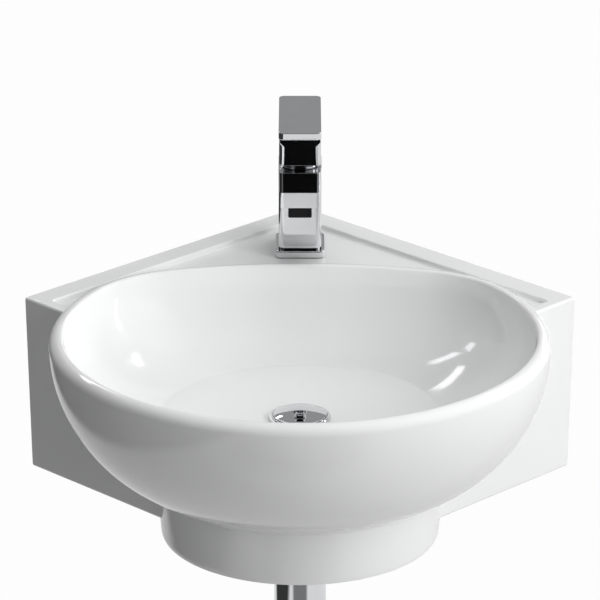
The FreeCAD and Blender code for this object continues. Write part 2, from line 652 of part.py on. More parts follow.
def lever():
    """The lever: a hollow block with a flat plate to the front and a boss for the stem."""
    half_depth = size("column_depth") / 2
    foot = column_top + size("lever_gap")
    top = foot + size("lever_height")
    throat = size("lever_throat")
    under = top - size("lever_plate")
    front = -half_depth
    slope = math.tan(math.radians(size("lift_angle") + 2))
    bend = throat * (1 - math.sqrt(0.5))

    def at(y, z):
        return Vector(-size("lever_width") / 2, tap_y + y, z)

    corners = [at(front - throat, under), at(-size("lever_reach"), under), at(-size("lever_reach"), top),
               at(half_depth, top), at(half_depth, foot + half_depth * slope), at(0, foot), at(front, foot),
               at(front, under - throat)]
    edges = [Part.LineSegment(a, b).toShape() for a, b in zip(corners, corners[1:])]
    edges.append(Part.Arc(corners[-1], at(front - bend, under - bend), corners[0]).toShape())
    side = Part.Face(Part.Wire(edges))
    block = side.extrude(Vector(size("lever_width"), 0, 0))
    corner = size("lever_corner")
    picked = [edge for edge in block.Edges if upright(edge)]
    block = feature("lever_block", block.makeFillet(corner - 1, picked))

    boss_foot = PIVOT + " + boss_rise"
    cavity = cylinder("lever_cavity", "cavity_radius", "lever_gap + lever_height - lever_roof", "0", TAP_Y,
                      COLUMN_TOP)
    boss = cylinder("lever_boss", "boss_radius", "lever_height", "0", TAP_Y, boss_foot)
    screw_z = PIVOT + " + screw_rise"
    tools = [
        cut("lever_hollow", cavity, boss),
        box("stem_socket", "stem_high + 2 * fit_gap", "stem_high + 2 * fit_gap",
            "stem_top_rise - boss_rise + 1 + 1", "0", TAP_Y, boss_foot + " - 1"),
        lying("grub_hole", "screw_radius + fit_gap", "boss_radius + 2", (0, 1, 0), "0", TAP_Y, screw_z),
        lying("grub_key_hole", "plug_radius + fit_gap", "column_depth", (0, 1, 0), "0",
              TAP_Y + " + boss_radius + 1", screw_z),
    ]
    node("tap_lever", cut("tap_lever", block, *tools))
    node("lever_grub_screw", lying("lever_grub_screw", "screw_radius", "boss_radius - stem_high / 2 - fit_gap",
                                   (0, 1, 0), "0", TAP_Y + " + stem_high / 2 + fit_gap", screw_z))
    node("lever_index_plug", lying("lever_index_plug", "plug_radius", "plug_length", (0, 1, 0), "0",
                                   TAP_Y + " + column_depth / 2 - plug_length", screw_z))


def cartridge():
    """Housing, ceramic discs, rotor, pin, stem, nut, seal and dome."""
    shoulder_rise = "cartridge_floor_rise - nut_thread"
    housing = turned("cartridge_housing_form", [
        ("rotor_radius + fit_gap", "chamber_floor"),
        ("rotor_radius + fit_gap", "0"), ("cartridge_radius", "0"),
        ("cartridge_radius", shoulder_rise), ("neck_radius", shoulder_rise),
        ("neck_radius", "cartridge_floor_rise + nut_collar"),
        ("rotor_radius + fit_gap", "cartridge_floor_rise + nut_collar"),
        ("rotor_radius + fit_gap", shoulder_rise + " - shoulder_thickness"),
        ("chamber_radius", shoulder_rise + " - shoulder_thickness"),
        ("chamber_radius", "chamber_floor")], "0", TAP_Y, CARTRIDGE_FLOOR)
    floor = cylinder("cartridge_floor", "chamber_radius + 1", "chamber_floor", "0", TAP_Y, CARTRIDGE_FLOOR)
    window = lying("cartridge_window", "channel_radius", "cartridge_radius + 4", (0, -1, 0), "0", TAP_Y,
                   COLUMN_TOP + " - outlet_roof - channel_radius - nut_thread")
    groove = ring("cartridge_seal_groove", "cartridge_radius + 1", "cartridge_radius - seal_depth",
                  "seal_height", "0", TAP_Y, CARTRIDGE_FLOOR + " + seal_rise")
    ports = [cylinder("cartridge_port_%d" % (hand + 1), "supply_radius", "chamber_floor + 2",
                      "%d * inlet_spread" % hand, TAP_Y + " - inlet_front", CARTRIDGE_FLOOR + " - 1")
             for hand in (-1, 1)]
    housing = fuse("cartridge_housing_solid", housing, floor)
    node("cartridge_housing", cut("cartridge_housing", housing, window, groove, *ports))
    node("cartridge_seal", ring("cartridge_seal", "cartridge_radius", "cartridge_radius - seal_depth + fit_gap",
                                "seal_height", "0", TAP_Y, CARTRIDGE_FLOOR + " + seal_rise"))
    disc = cylinder("fixed_disc_blank", "chamber_radius - fit_gap", "disc_thickness", "0", TAP_Y,
                    CARTRIDGE_FLOOR + " + chamber_floor")
    disc_ports = [cylinder("fixed_disc_port_%d" % (hand + 1), "supply_radius", "disc_thickness + 2",
                           "%d * inlet_spread" % hand, TAP_Y + " - inlet_front",
                           CARTRIDGE_FLOOR + " + chamber_floor - 1") for hand in (-1, 1)]
    node("cartridge_fixed_disc", cut("cartridge_fixed_disc", disc, *disc_ports))
    carrier = cylinder("carrier_blank", "carrier_radius",
                       "cartridge_floor_rise + pivot_rise - stem_arm + 1 - chamber_floor - disc_thickness"
                       " - free_gap / 2", "0", TAP_Y,
                       CARTRIDGE_FLOOR + " + chamber_floor + disc_thickness + free_gap / 2")
    pocket = cylinder("carrier_pocket", "ball_radius + free_gap", "20", "0", TAP_Y,
                      PIVOT + " - stem_arm - ball_radius - 1")
    node("cartridge_moving_disc", cut("cartridge_moving_disc", carrier, pocket))
    rotor_and_stem()
    node("cartridge_nut", turned("cartridge_nut", [
        ("neck_radius + fit_gap", "0"), ("nut_radius", "0"), ("nut_radius", "nut_thread"),
        ("nut_collar_radius", "nut_thread"), ("nut_collar_radius", "nut_thread + nut_collar"),
        ("neck_radius + fit_gap", "nut_thread + nut_collar")], "0", TAP_Y, SHOULDER))
    dome()


def rotor_and_stem():
    """The turning part of the cartridge and the stem that tilts in it."""
    neck_foot = SHOULDER + " - shoulder_thickness"
    rotor = cylinder("rotor_barrel", "rotor_radius",
                     "pivot_rise + rotor_rise + nut_thread + shoulder_thickness + rotor_flange + fit_gap",
                     "0", TAP_Y, neck_foot + " - rotor_flange - fit_gap")
    flange = cylinder("rotor_flange_disc", "rotor_flange_radius", "rotor_flange", "0", TAP_Y,
                      neck_foot + " - rotor_flange - fit_gap")
    slot = box("rotor_slot", "stem_low + 2 * free_gap", "2 * rotor_radius - 1.6", "40", "0", TAP_Y,
               neck_foot + " - 10")
    pin_hole = lying("rotor_pin_hole", "pin_radius + fit_gap", "40", (1, 0, 0), "-20", TAP_Y, PIVOT)
    node("cartridge_rotor", cut("cartridge_rotor", fuse("rotor_solid", rotor, flange), slot, pin_hole))
    node("cartridge_pin", lying("cartridge_pin", "pin_radius", "2 * rotor_radius - 1", (1, 0, 0),
                                "-rotor_radius + 0.5", TAP_Y, PIVOT))
    head_rise = "(rotor_rise / cos(lift_angle) + stem_high / 2 * tan(lift_angle) + free_gap)"
    shaft = box("stem_shaft", "stem_low", "stem_low", "stem_arm - ball_radius + 1.5 + " + head_rise, "0", TAP_Y,
                PIVOT + " - stem_arm + ball_radius - 0.5")
    head = box("stem_head", "stem_high", "stem_high", "stem_top_rise - " + head_rise, "0", TAP_Y,
               PIVOT + " + " + head_rise)
    ball = doc.addObject("Part::Sphere", "stem_ball")
    ball.setExpression("Radius", bound("ball_radius"))
    place(ball, "0", TAP_Y, PIVOT + " - stem_arm")
    eye = lying("stem_eye", "pin_radius + fit_gap", "20", (1, 0, 0), "-10", TAP_Y, PIVOT)
    node("cartridge_stem", cut("cartridge_stem", fuse("stem_solid", shaft, head, ball), eye))


def dome():
    """The ball-shaped dome over the cartridge, open at its top for the stem."""
    outer = size("dome_radius")
    inner = outer - size("dome_wall")
    opening = math.radians(size("dome_opening"))
    drop = size("pivot_rise") - 0.1
    base = math.pi / 2 + math.asin(drop / outer)
    base_inner = math.pi / 2 + math.asin(drop / inner)

    def on(radius, angle):
        return Vector(radius * math.sin(angle), 0, radius * math.cos(angle))

    edges = [
        Part.Arc(on(outer, opening), on(outer, (opening + base) / 2), on(outer, base)).toShape(),
        Part.LineSegment(on(outer, base), on(inner, base_inner)).toShape(),
        Part.Arc(on(inner, base_inner), on(inner, (opening + base_inner) / 2), on(inner, opening)).toShape(),
        Part.LineSegment(on(inner, opening), on(outer, opening)).toShape(),
    ]
    shell = Part.Face(Part.Wire(edges)).revolve(Vector(0, 0, 0), UP, 360)
    thing = feature("cartridge_dome", shell)
    place(thing, "0", TAP_Y, PIVOT)
    node("cartridge_dome", thing)


def aerator():
    """Housing screwed into the spout, its strainer and its seal."""
    foot = SPOUT_FOOT + " - aerator_drop"
    block = box("aerator_block", "aerator_width", "aerator_width", "aerator_drop - free_gap / 2", "0", OUTLET_Y,
                foot)
    block = rounded("aerator_rounded", block, size("aerator_corner"), upright)
    neck = cylinder("aerator_thread", "outlet_radius - fit_gap", "aerator_drop + aerator_neck", "0", OUTLET_Y,
                    foot)
    bore = cylinder("aerator_way", "aerator_bore", "aerator_drop + aerator_neck + 2", "0", OUTLET_Y,
                    foot + " - 1")
    node("aerator_housing", cut("aerator_housing", fuse("aerator_solid", block, neck), bore))
    insert = cylinder("strainer_blank", "aerator_bore - fit_gap", "aerator_drop + aerator_neck - 2", "0",
                      OUTLET_Y, SPOUT_FOOT + " - aerator_drop + 1")
    holes = []
    for count, circle in ((1, 0), (6, 1), (11, 2)):
        for step in range(count):
            turn = 360 * step / count
            holes.append(cylinder("strainer_hole_%d_%d" % (circle, step), "strainer_hole",
                                  "aerator_drop + aerator_neck + 4",
                                  "%d * strainer_pitch * cos(%f)" % (circle, turn),
                                  OUTLET_Y + " + %d * strainer_pitch * sin(%f)" % (circle, turn),
                                  SPOUT_FOOT + " - aerator_drop - 1"))
    node("aerator_strainer", cut("aerator_strainer", insert, *holes))
    node("aerator_seal", ring("aerator_seal", "outlet_radius - fit_gap", "aerator_bore - 1", "aerator_seal", "0",
                              OUTLET_Y, SPOUT_FOOT + " + aerator_neck"))


def tap_fixing():
    """Stud, horseshoe pieces and nut that hold the tap to the deck."""
    node("tap_stud", cylinder("tap_stud", "stud_radius", "stud_grip - 1 + stud_hang", "0", TAP_Y + " + stud_back",
                              "-deck_drop - stud_hang"))
    foot = "-deck_drop - deck_thickness"
    for name, height in (("tap_horseshoe_gasket", "horseshoe_gasket"), ("tap_horseshoe_plate", "horseshoe_plate")):
        foot = foot + " - " + height
        disc = cylinder(name + "_disc", "horseshoe_radius", height, "0", TAP_Y, foot)
        bore = cylinder(name + "_bore", "stud_back - stud_radius - 0.5", "20", "0", TAP_Y, foot + " - 5")
        mouth = box(name + "_mouth", "2 * inlet_spread + 2 * inlet_radius + 2", "horseshoe_radius + 4", "20",
                    "0", TAP_Y + " - (horseshoe_radius + 4) / 2 + 2", foot + " - 5")
        hole = cylinder(name + "_hole", "stud_radius + free_gap", "20", "0", TAP_Y + " + stud_back",
                        foot + " - 5")
        node(name, cut(name, disc, bore, mouth, hole))
    node("tap_fixing_nut", hexagon("tap_fixing_nut", "stud_nut_width", "stud_nut_height",
                                   "stud_radius + fit_gap", "0", TAP_Y + " + stud_back",
                                   foot + " - stud_nut_height"))


# ---------------------------------------------------------------- waste

def waste():
    """Flange and tail, its seals and nut, and the click plug with its plunger and spring."""
    seal_top = SEAT + " + top_seal"
    node("waste_top_seal", ring("waste_top_seal", "flange_radius - 1", "tail_radius + free_gap", "top_seal", "0",
                                BOWL_Y, SEAT))
    shell = turned("waste_shell", [
        ("tail_bore", "-tail_length - top_seal"), ("tail_radius", "-tail_length - top_seal"),
        ("tail_radius", "0"), ("flange_radius", "0"), ("flange_radius", "flange_height * 0.35"),
        ("flange_radius - flange_lip * 0.45", "flange_height"),
        ("flange_radius - flange_lip", "flange_height"),
        ("flange_radius - flange_lip", "flange_height * 0.4"),
        ("tail_bore", "flange_height * 0.2")], "0", BOWL_Y, seal_top)
    hub = cylinder("waste_hub", "hub_radius", "spider_height", "0", BOWL_Y,
                   SEAT + " - spider_drop - spider_height")
    arms = [hub]
    for step in range(2):
        arm = doc.addObject("Part::Box", "waste_arm_%d" % step)
        arm.setExpression("Length", bound("2 * tail_bore + 1"))
        arm.setExpression("Width", bound("spider_arm"))
        arm.setExpression("Height", bound("spider_height"))
        arm.Placement.Rotation = FreeCAD.Rotation(UP, 90 * step)
        along, across = "(tail_bore + 0.5)", "(spider_arm / 2)"
        if step:
            place(arm, across, BOWL_Y + " - " + along, SEAT + " - spider_drop - spider_height")
        else:
            place(arm, "-" + along, BOWL_Y + " - " + across, SEAT + " - spider_drop - spider_height")
        arms.append(arm)
    solid = fuse("waste_solid", shell, *arms)
    bore = cylinder("waste_hub_bore", "sleeve_radius + fit_gap", "spider_height + 4", "0", BOWL_Y,
                    SEAT + " - spider_drop - spider_height - 2")
    node("waste_body", cut("waste_body", solid, bore))

    foot = SEAT + " - bowl_wall - lower_seal"
    node("waste_lower_seal", turned("waste_lower_seal", [
        ("tail_radius + free_gap", "0"), ("tail_radius + lower_seal_width", "0"),
        ("tail_radius + lower_seal_width", "lower_seal - 2"),
        ("tail_radius + lower_seal_width - 3", "lower_seal"),
        ("tail_radius + free_gap", "lower_seal")], "0", BOWL_Y, foot))
    foot = foot + " - waste_washer"
    node("waste_washer", ring("waste_washer", "tail_radius + lower_seal_width - 1", "tail_radius + free_gap",
                              "waste_washer", "0", BOWL_Y, foot))
    foot = foot + " - backnut_height"
    node("waste_backnut", hexagon("waste_backnut", "backnut_width", "backnut_height", "tail_radius + fit_gap",
                                  "0", BOWL_Y, foot))
    click_plug()


def click_plug():
    """The plug, shut at rest, with its seal, plunger, sleeve and spring."""
    edge = "top_seal + flange_height * 0.4 + plug_gap + 0.8"
    radius = "(flange_radius - flange_lip - plug_gap)"
    dome_radius = (size("flange_radius") - size("flange_lip") - size("plug_gap"))
    rise = size("plug_dome")
    curve = (dome_radius ** 2 + rise ** 2) / (2 * rise)
    lift = size("plug_edge")
    half = math.asin(dome_radius / curve) / 2
    top_arc = Part.Arc(Vector(0, 0, lift + rise),
                       Vector(curve * math.sin(half), 0, lift + rise - curve * (1 - math.cos(half))),
                       Vector(dome_radius, 0, lift)).toShape()
    corners = [Vector(dome_radius, 0, lift), Vector(dome_radius, 0, 0), Vector(0, 0, 0),
               Vector(0, 0, lift + rise)]
    edges = [top_arc] + [Part.LineSegment(a, b).toShape() for a, b in zip(corners, corners[1:])]
    cap = feature("plug_cap", Part.Face(Part.Wire(edges)).revolve(Vector(0, 0, 0), UP, 360))
    place(cap, "0", BOWL_Y, SEAT + " + " + edge)
    skirt_foot = SEAT + " - 5"
    skirt = cylinder("plug_skirt", "tail_bore - 3.4", "5 + %s + 0.5" % edge, "0", BOWL_Y, skirt_foot)
    skirt_hollow = cylinder("plug_skirt_hollow", "tail_bore - 5.4", "5 + %s" % edge, "0", BOWL_Y, skirt_foot)
    stub = cylinder("plug_stub", "plunger_radius + 2", "5 + %s + 0.5" % edge, "0", BOWL_Y, skirt_foot)
    thread = cylinder("plug_thread", "plunger_radius - 1.5 + fit_gap", "5 + %s" % edge, "0", BOWL_Y, skirt_foot)
    shell = cut("plug_shell", fuse("plug_outer", cap, skirt), skirt_hollow)
    node("waste_plug", cut("waste_plug", fuse("plug_solid", shell, stub), thread))
    node("waste_plug_seal", ring("waste_plug_seal", "tail_bore + 5", "tail_bore - 3.4", "plug_seal", "0",
                                 BOWL_Y, SEAT + " + %s - plug_seal" % edge))

    sleeve_top = SEAT + " - spider_drop + sleeve_rise"
    sleeve_foot = sleeve_top + " - sleeve_length"
    node("waste_click_sleeve", turned("waste_click_sleeve", [
        ("1.5", "0"), ("sleeve_radius", "0"), ("sleeve_radius", "sleeve_length"),
        ("sleeve_bore", "sleeve_length"), ("sleeve_bore", "1.5"), ("1.5", "1.5")], "0", BOWL_Y, sleeve_foot))
    spring_foot = sleeve_foot + " + 1.5"
    spring_room = size("plug_travel") + 6
    plunger_foot = "%s + plug_travel + 6" % spring_foot
    plunger = cylinder("plunger_rod", "plunger_radius",
                       "5 + spider_drop - sleeve_rise + sleeve_length - 1.5 - plug_travel - 6 - 10", "0", BOWL_Y,
                       plunger_foot)
    screw = cylinder("plunger_screw", "plunger_radius - 1.5", "spider_drop - sleeve_rise + sleeve_length"
                     " - 1.5 - plug_travel - 6 + %s" % edge, "0", BOWL_Y, plunger_foot)
    node("waste_plunger", fuse("waste_plunger", plunger, screw))
    foot_z = (seat_z - size("spider_drop") + size("sleeve_rise") - size("sleeve_length") + 1.5)
    plunger_spring(foot_z, spring_room)


def plunger_spring(foot, room):
    """A coil spring between the sleeve's floor and the plunger."""
    wire = size("spring_wire")
    turns = size("spring_turns")
    radius = size("spring_radius")
    pitch = (room - wire - 0.2) / turns
    helix = Part.makeHelix(pitch, pitch * turns, radius)
    section = Part.Wire(Part.makeCircle(wire / 2, Vector(radius, 0, 0), Vector(0, 1, pitch / (2 * math.pi * radius))))
    coil = Part.Wire(helix.Edges).makePipeShell([section], True, True)
    thing = feature("waste_spring", coil)
    thing.Placement.Base = Vector(0, bowl_y, foot + wire / 2 + 0.1)
    node("waste_spring", thing)


# ---------------------------------------------------------------- trap

def trap():
    """The bottle trap from the waste's tail to the wall."""
    tail_foot = SEAT + " - tail_length"
    washer_foot = tail_foot + " - inlet_washer"
    flange_foot = washer_foot + " - tube_flange"
    node("trap_inlet_washer", ring("trap_inlet_washer", "tail_radius - 0.2", "pipe_radius - pipe_wall",
                                   "inlet_washer", "0", BOWL_Y, washer_foot))
    node("trap_inlet_nut", turned("trap_inlet_nut", [
        ("pipe_radius + free_gap", "0"), ("inlet_nut_radius", "0"),
        ("inlet_nut_radius", "nut_lip + tube_flange + inlet_washer + inlet_nut_grip"),
        ("tail_radius + fit_gap", "nut_lip + tube_flange + inlet_washer + inlet_nut_grip"),
        ("tail_radius + fit_gap", "nut_lip"), ("pipe_radius + free_gap", "nut_lip")], "0", BOWL_Y,
        flange_foot + " - nut_lip"))
    dip_foot = TRAP_FOOT + " + dip_clearance"
    dip_length = "(%s + tube_flange) - (%s)" % (flange_foot, dip_foot)
    node("trap_dip_tube", turned("trap_dip_tube", [
        ("pipe_radius - pipe_wall", "0"), ("pipe_radius", "0"), ("pipe_radius", dip_length + " - tube_flange"),
        ("tail_radius - 0.2", dip_length + " - tube_flange"), ("tail_radius - 0.2", dip_length),
        ("pipe_radius - pipe_wall", dip_length)], "0", BOWL_Y, dip_foot))
    node("trap_top_seal", ring("trap_top_seal", "trap_radius - 0.2", "pipe_radius + fit_gap", "trap_seal", "0",
                               BOWL_Y, TRAP_TOP))
    node("trap_top_nut", turned("trap_top_nut", [
        ("trap_radius + fit_gap", "0"), ("top_nut_radius", "0"),
        ("top_nut_radius", "top_nut_grip + trap_seal + nut_lip"),
        ("pipe_radius + free_gap", "top_nut_grip + trap_seal + nut_lip"),
        ("pipe_radius + free_gap", "top_nut_grip + trap_seal"),
        ("trap_radius + fit_gap", "top_nut_grip + trap_seal")], "0", BOWL_Y, TRAP_TOP + " - top_nut_grip"))
    trap_bottle()
    trap_outlet()


def trap_bottle():
    """The bottle with its branch, the cup below it and their seal."""
    outer = cylinder("bottle_outer", "trap_radius", "trap_length", "0", BOWL_Y, TRAP_FOOT)
    branch = along_outlet("bottle_branch", "branch_radius", "0", "branch_reach")
    solid = fuse("bottle_solid", outer, branch)
    inner = cylinder("bottle_inner", "trap_radius - trap_wall", "trap_length + 2", "0", BOWL_Y, TRAP_FOOT + " - 1")
    way = along_outlet("bottle_way", "pipe_radius - pipe_wall", "0", "branch_reach + 2")
    socket = along_outlet("bottle_socket", "pipe_radius + fit_gap", "pipe_entry", "20")
    node("trap_body", cut("trap_body", solid, inner, way, socket))
    node("trap_cup_seal", ring("trap_cup_seal", "trap_radius - 0.2", "trap_radius - trap_wall - 1.4", "cup_seal",
                               "0", BOWL_Y, TRAP_FOOT + " - cup_seal"))
    inside = "trap_radius - trap_wall - fit_gap"
    node("trap_cup", turned("trap_cup", [
        ("0", "0"), ("trap_radius - 3", "0"), ("trap_radius", "3"), ("trap_radius", "cup_height"),
        (inside + " - 1.4", "cup_height"), (inside + " - 1.4", "cup_height + cup_seal"),
        (inside, "cup_height + cup_seal"), (inside, "cup_height + cup_seal + cup_thread"),
        (inside + " - 2.6", "cup_height + cup_seal + cup_thread"), (inside + " - 2.6", "4"), ("0", "4")],
        "0", BOWL_Y, TRAP_FOOT + " - cup_height - cup_seal"))


OUTLET = (-math.sqrt(0.5), math.sqrt(0.5), 0)


def outlet_place(reach):
    """A place on the outlet's axis, reach away from the trap's axis."""
    return ("-(%s) * sqrt(0.5)" % reach, "-axis_setback + (%s) * sqrt(0.5)" % reach, "-outlet_drop")


def along_outlet(name, radius, start, length):
    """A cylinder on the outlet's axis."""
    return lying(name, radius, length, OUTLET, *outlet_place(start))


def trap_outlet():
    """Nut, seal, pipe and rosette from the bottle to the wall."""
    wall = "(axis_setback * sqrt(0.5))"
    nut_start = "branch_reach - outlet_nut_grip"
    node("trap_outlet_seal", ring("trap_outlet_seal", "branch_radius - 0.2", "pipe_radius + fit_gap", "trap_seal",
                                  *outlet_place("branch_reach"), direction=OUTLET))
    node("trap_outlet_nut", turned("trap_outlet_nut", [
        ("branch_radius + fit_gap", "0"), ("outlet_nut_radius", "0"),
        ("outlet_nut_radius", "outlet_nut_grip + trap_seal + nut_lip"),
        ("pipe_radius + free_gap", "outlet_nut_grip + trap_seal + nut_lip"),
        ("pipe_radius + free_gap", "outlet_nut_grip + trap_seal"),
        ("branch_radius + fit_gap", "outlet_nut_grip + trap_seal")], *outlet_place(nut_start), direction=OUTLET))
    pipe = ring("outlet_tube", "pipe_radius", "pipe_radius - pipe_wall", wall + " + pipe_stub - pipe_entry",
                *outlet_place("pipe_entry"), direction=OUTLET)
    mark = ring("outlet_mark", "pipe_radius + 1", "pipe_radius - mark_depth", "mark_width",
                *outlet_place(wall + " - mark_width"), direction=OUTLET)
    node("trap_outlet_pipe", cut("trap_outlet_pipe", pipe, mark))
    node("trap_wall_rosette", turned("trap_wall_rosette", [
        ("pipe_radius + open_gap", "0"), ("pipe_radius + open_gap + 2", "0"),
        ("rosette_radius - 2", "rosette_depth - 3"), ("rosette_radius", "rosette_depth"),
        ("rosette_radius - rosette_wall", "rosette_depth"),
        ("rosette_radius - 2 - rosette_wall", "rosette_depth - 3 + rosette_wall"),
        ("pipe_radius + open_gap", "rosette_wall")], *outlet_place(wall + " - rosette_depth"), direction=OUTLET))


# ---------------------------------------------------------------- build

def check():
    """Stop if anything failed or a piece isn't a sound solid."""
    for thing in doc.Objects:
        if "Invalid" in thing.State or "Error" in thing.State:
            raise RuntimeError("%s failed: %s" % (thing.Name, thing.State))
    for name, thing in NODES:
        shape = thing.Shape
        if shape.isNull() or not shape.isValid() or not shape.Solids:
            raise RuntimeError("%s is not a sound solid" % name)


def write():
    """One STEP file for each piece."""
    os.makedirs("parts", exist_ok=True)
    for name, thing in NODES:
        thing.Shape.exportStep("parts/%s.step" % name)
        print(name, "volume %.0f mm3, solids %d" % (thing.Shape.Volume, len(thing.Shape.Solids)))


basin()
tap_base()
tap_body()
lever()
cartridge()
aerator()
tap_fixing()
waste()
trap()
doc.recompute()
check()
write()
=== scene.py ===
"""Corner basin with its mixer tap, click waste and bottle trap: the look of every visible piece.

Origin: the inner corner of the two walls at the height of the rim. +Z up, the bowl's front points to -Y.
Lengths in this file are in millimetres up to the moment when a point is placed.
"""
import json
import math

import bmesh
import bpy
from mathutils import Matrix, Vector


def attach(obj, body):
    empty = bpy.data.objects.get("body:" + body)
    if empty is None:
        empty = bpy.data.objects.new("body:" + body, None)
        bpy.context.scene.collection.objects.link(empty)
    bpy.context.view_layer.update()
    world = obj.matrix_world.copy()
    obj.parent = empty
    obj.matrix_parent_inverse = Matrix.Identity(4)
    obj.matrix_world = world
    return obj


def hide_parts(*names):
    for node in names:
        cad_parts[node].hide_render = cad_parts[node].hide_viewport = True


bl_info = {
    "name": "Corner Basin",
    "version": (1, 0, 0),
    "blender": (4, 5, 0),
    "location": "View3D > Sidebar > Basin",
    "description": "Builds a corner basin with its tap, waste and trap, and a pale studio around it",
    "category": "Add Mesh",
}

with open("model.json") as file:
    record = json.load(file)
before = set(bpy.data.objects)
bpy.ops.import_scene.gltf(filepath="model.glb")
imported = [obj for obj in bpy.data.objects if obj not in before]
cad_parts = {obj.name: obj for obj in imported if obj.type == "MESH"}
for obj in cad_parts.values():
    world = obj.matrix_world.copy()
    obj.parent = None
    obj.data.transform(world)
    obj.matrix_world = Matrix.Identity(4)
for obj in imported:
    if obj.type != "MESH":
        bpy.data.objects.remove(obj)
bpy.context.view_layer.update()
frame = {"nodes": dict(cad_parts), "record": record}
NODES = frame["nodes"]
MM = 0.001
TOUCH = 0.01
HALF = math.sqrt(0.5)
UP = (0, 0, 1)
TO_LEFT_WALL = Vector((-HALF, HALF, 0))


def mm(name, description, default):
    """A length in millimetres that a user may change."""
    return bpy.props.FloatProperty(name=name, description=description, default=default, min=0.0,
                                   subtype="NONE", unit="NONE", precision=2)


def tint(name, description, default):
    """A colour that a user may change."""
    return bpy.props.FloatVectorProperty(name=name, description=description, default=default, size=3,
                                         min=0.0, max=1.0, subtype="COLOR")


class BasinSizes(bpy.types.PropertyGroup):
    """Sizes of the ceramic, in millimetres."""
    wall_side: mm("Wall side", "Length of the basin along each wall", 350)
    panel_draft: mm("Panel draft", "How much shorter the side is at its foot", 4)
    panel_drop: mm("Panel drop", "Rim to the lower edge of the side panels", 168)
    panel_wall: mm("Panel wall", "Thickness of the side panels", 12)
    back_wall: mm("Back wall", "Thickness of the two wall faces", 14)
    ledge_drop: mm("Ledge drop", "Rim to the ledge along the walls", 3)
    ledge_width: mm("Ledge width", "Width of the ledge along the walls", 24)
    deck_drop: mm("Deck drop", "Rim to the sunk tap deck", 8)
    deck_thickness: mm("Deck thickness", "Thickness of the tap deck", 13)
    axis_setback: mm("Axis setback", "Wall corner to the axis of the bowl", 341)
    rim_radius: mm("Rim radius", "Outer radius of the bowl at the rim", 220)
    lip_width: mm("Lip width", "Width of the rim", 12.5)
    rim_back: mm("Rim behind", "Bowl axis to the outer rim behind", 181)
    rim_back_radius: mm("Rim radius behind", "Radius of the flatter rim behind", 443)
    rim_blend: mm("Rim blend", "Radius that joins the round rim to the flatter one", 112)
    lip_round: mm("Lip round", "Rounding of the rim's outer edge, seen from above", 9)
    lip_inner_round: mm("Inner lip round", "Rounding of the rim's inner edge", 2.5)
    side_radius: mm("Bowl side", "Radius of the bowl's side seen from outside", 132.5)
    side_drop: mm("Upright side", "Upright part of the bowl's side under the rim", 9)
    ring_radius: mm("Ring radius", "Outer radius of the ring where it leaves the bowl", 127.5)
    ring_foot_radius: mm("Ring foot", "Outer radius of the ring at its foot", 123.5)
    ring_drop: mm("Ring drop", "Rim to the lower edge of the ring", 188)
    ring_wall: mm("Ring wall", "Thickness of the ring", 11)
    floor_depth: mm("Bowl depth", "Rim to the foot of the inner wall", 80)
    floor_radius: mm("Floor radius", "Radius of the bowl's floor", 122)
    floor_fall: mm("Floor fall", "Fall of the floor to the waste", 2.5)
    bowl_wall: mm("Bowl wall", "Thickness of the bowl", 12)
    tap_hole: mm("Tap hole", "Radius of the tap hole", 17.5)
    waste_hole: mm("Waste hole", "Radius of the waste hole", 22.5)
    edge_round: mm("Edge round", "Rounding of the corner body's edges", 2.5)
    fixing_pitch: mm("Fixing pitch", "Distance between the fixing holes of a wall", 200)
    fixing_drop: mm("Fixing drop", "Rim to the fixing holes", 55)
    fixing_radius: mm("Fixing hole", "Radius of a fixing hole", 6.5)


class TapSizes(bpy.types.PropertyGroup):
    """Sizes of the tap, in millimetres."""
    setback: mm("Setback", "Wall corner to the tap's axis", 107)
    plate_width: mm("Plate width", "Base plate, side to side", 45.5)
    plate_depth: mm("Plate depth", "Base plate, front to back", 54)
    plate_foot: mm("Plate foot", "Deck's gasket under the plate", 1)
    plate_height: mm("Plate height", "Thickness of the base plate", 6)
    width: mm("Column width", "Column, side to side", 39.5)
    depth: mm("Column depth", "Column, front to back", 46)
    height: mm("Column height", "Base plate to the column's top", 78.6)
    foot_inset: mm("Shadow gap inset", "Set-back of the gap above the plate", 1.5)
    foot_height: mm("Shadow gap", "Height of the gap above the plate", 2.2)
    corner: mm("Corner", "Corner radius of column, plate and lever", 6)
    spout_width: mm("Spout width", "Spout, side to side", 38.5)
    spout_height: mm("Spout height", "Spout, top to bottom", 14.4)
    spout_reach: mm("Spout reach", "Tap axis to the front of the spout", 88.4)
    outlet_inset: mm("Outlet inset", "Front of the spout to the outlet's axis", 15.3)
    outlet_radius: mm("Outlet", "Recess for the aerator", 10.6)
    aerator_width: mm("Aerator", "Square block of the aerator", 21.4)
    aerator_drop: mm("Aerator drop", "Height of the aerator under the spout", 11)
    lever_gap: mm("Lever gap", "Gap between column and lever", 3.4)
    lever_height: mm("Lever height", "Lever block, top to bottom", 53)
    lever_reach: mm("Lever reach", "Tap axis to the front of the lever", 88)
    lever_plate: mm("Lever plate", "Thickness of the lever's front plate", 6.6)
    lever_throat: mm("Lever throat", "Radius under the lever's plate", 28)
    cavity: mm("Lever cavity", "Radius of the cavity in the lever", 17.4)
    edge: mm("Edge", "Softening of the metal's edges", 0.7)
    edge_round: mm("Edge round", "Rounding of the lever's and column's larger edges", 1.4)


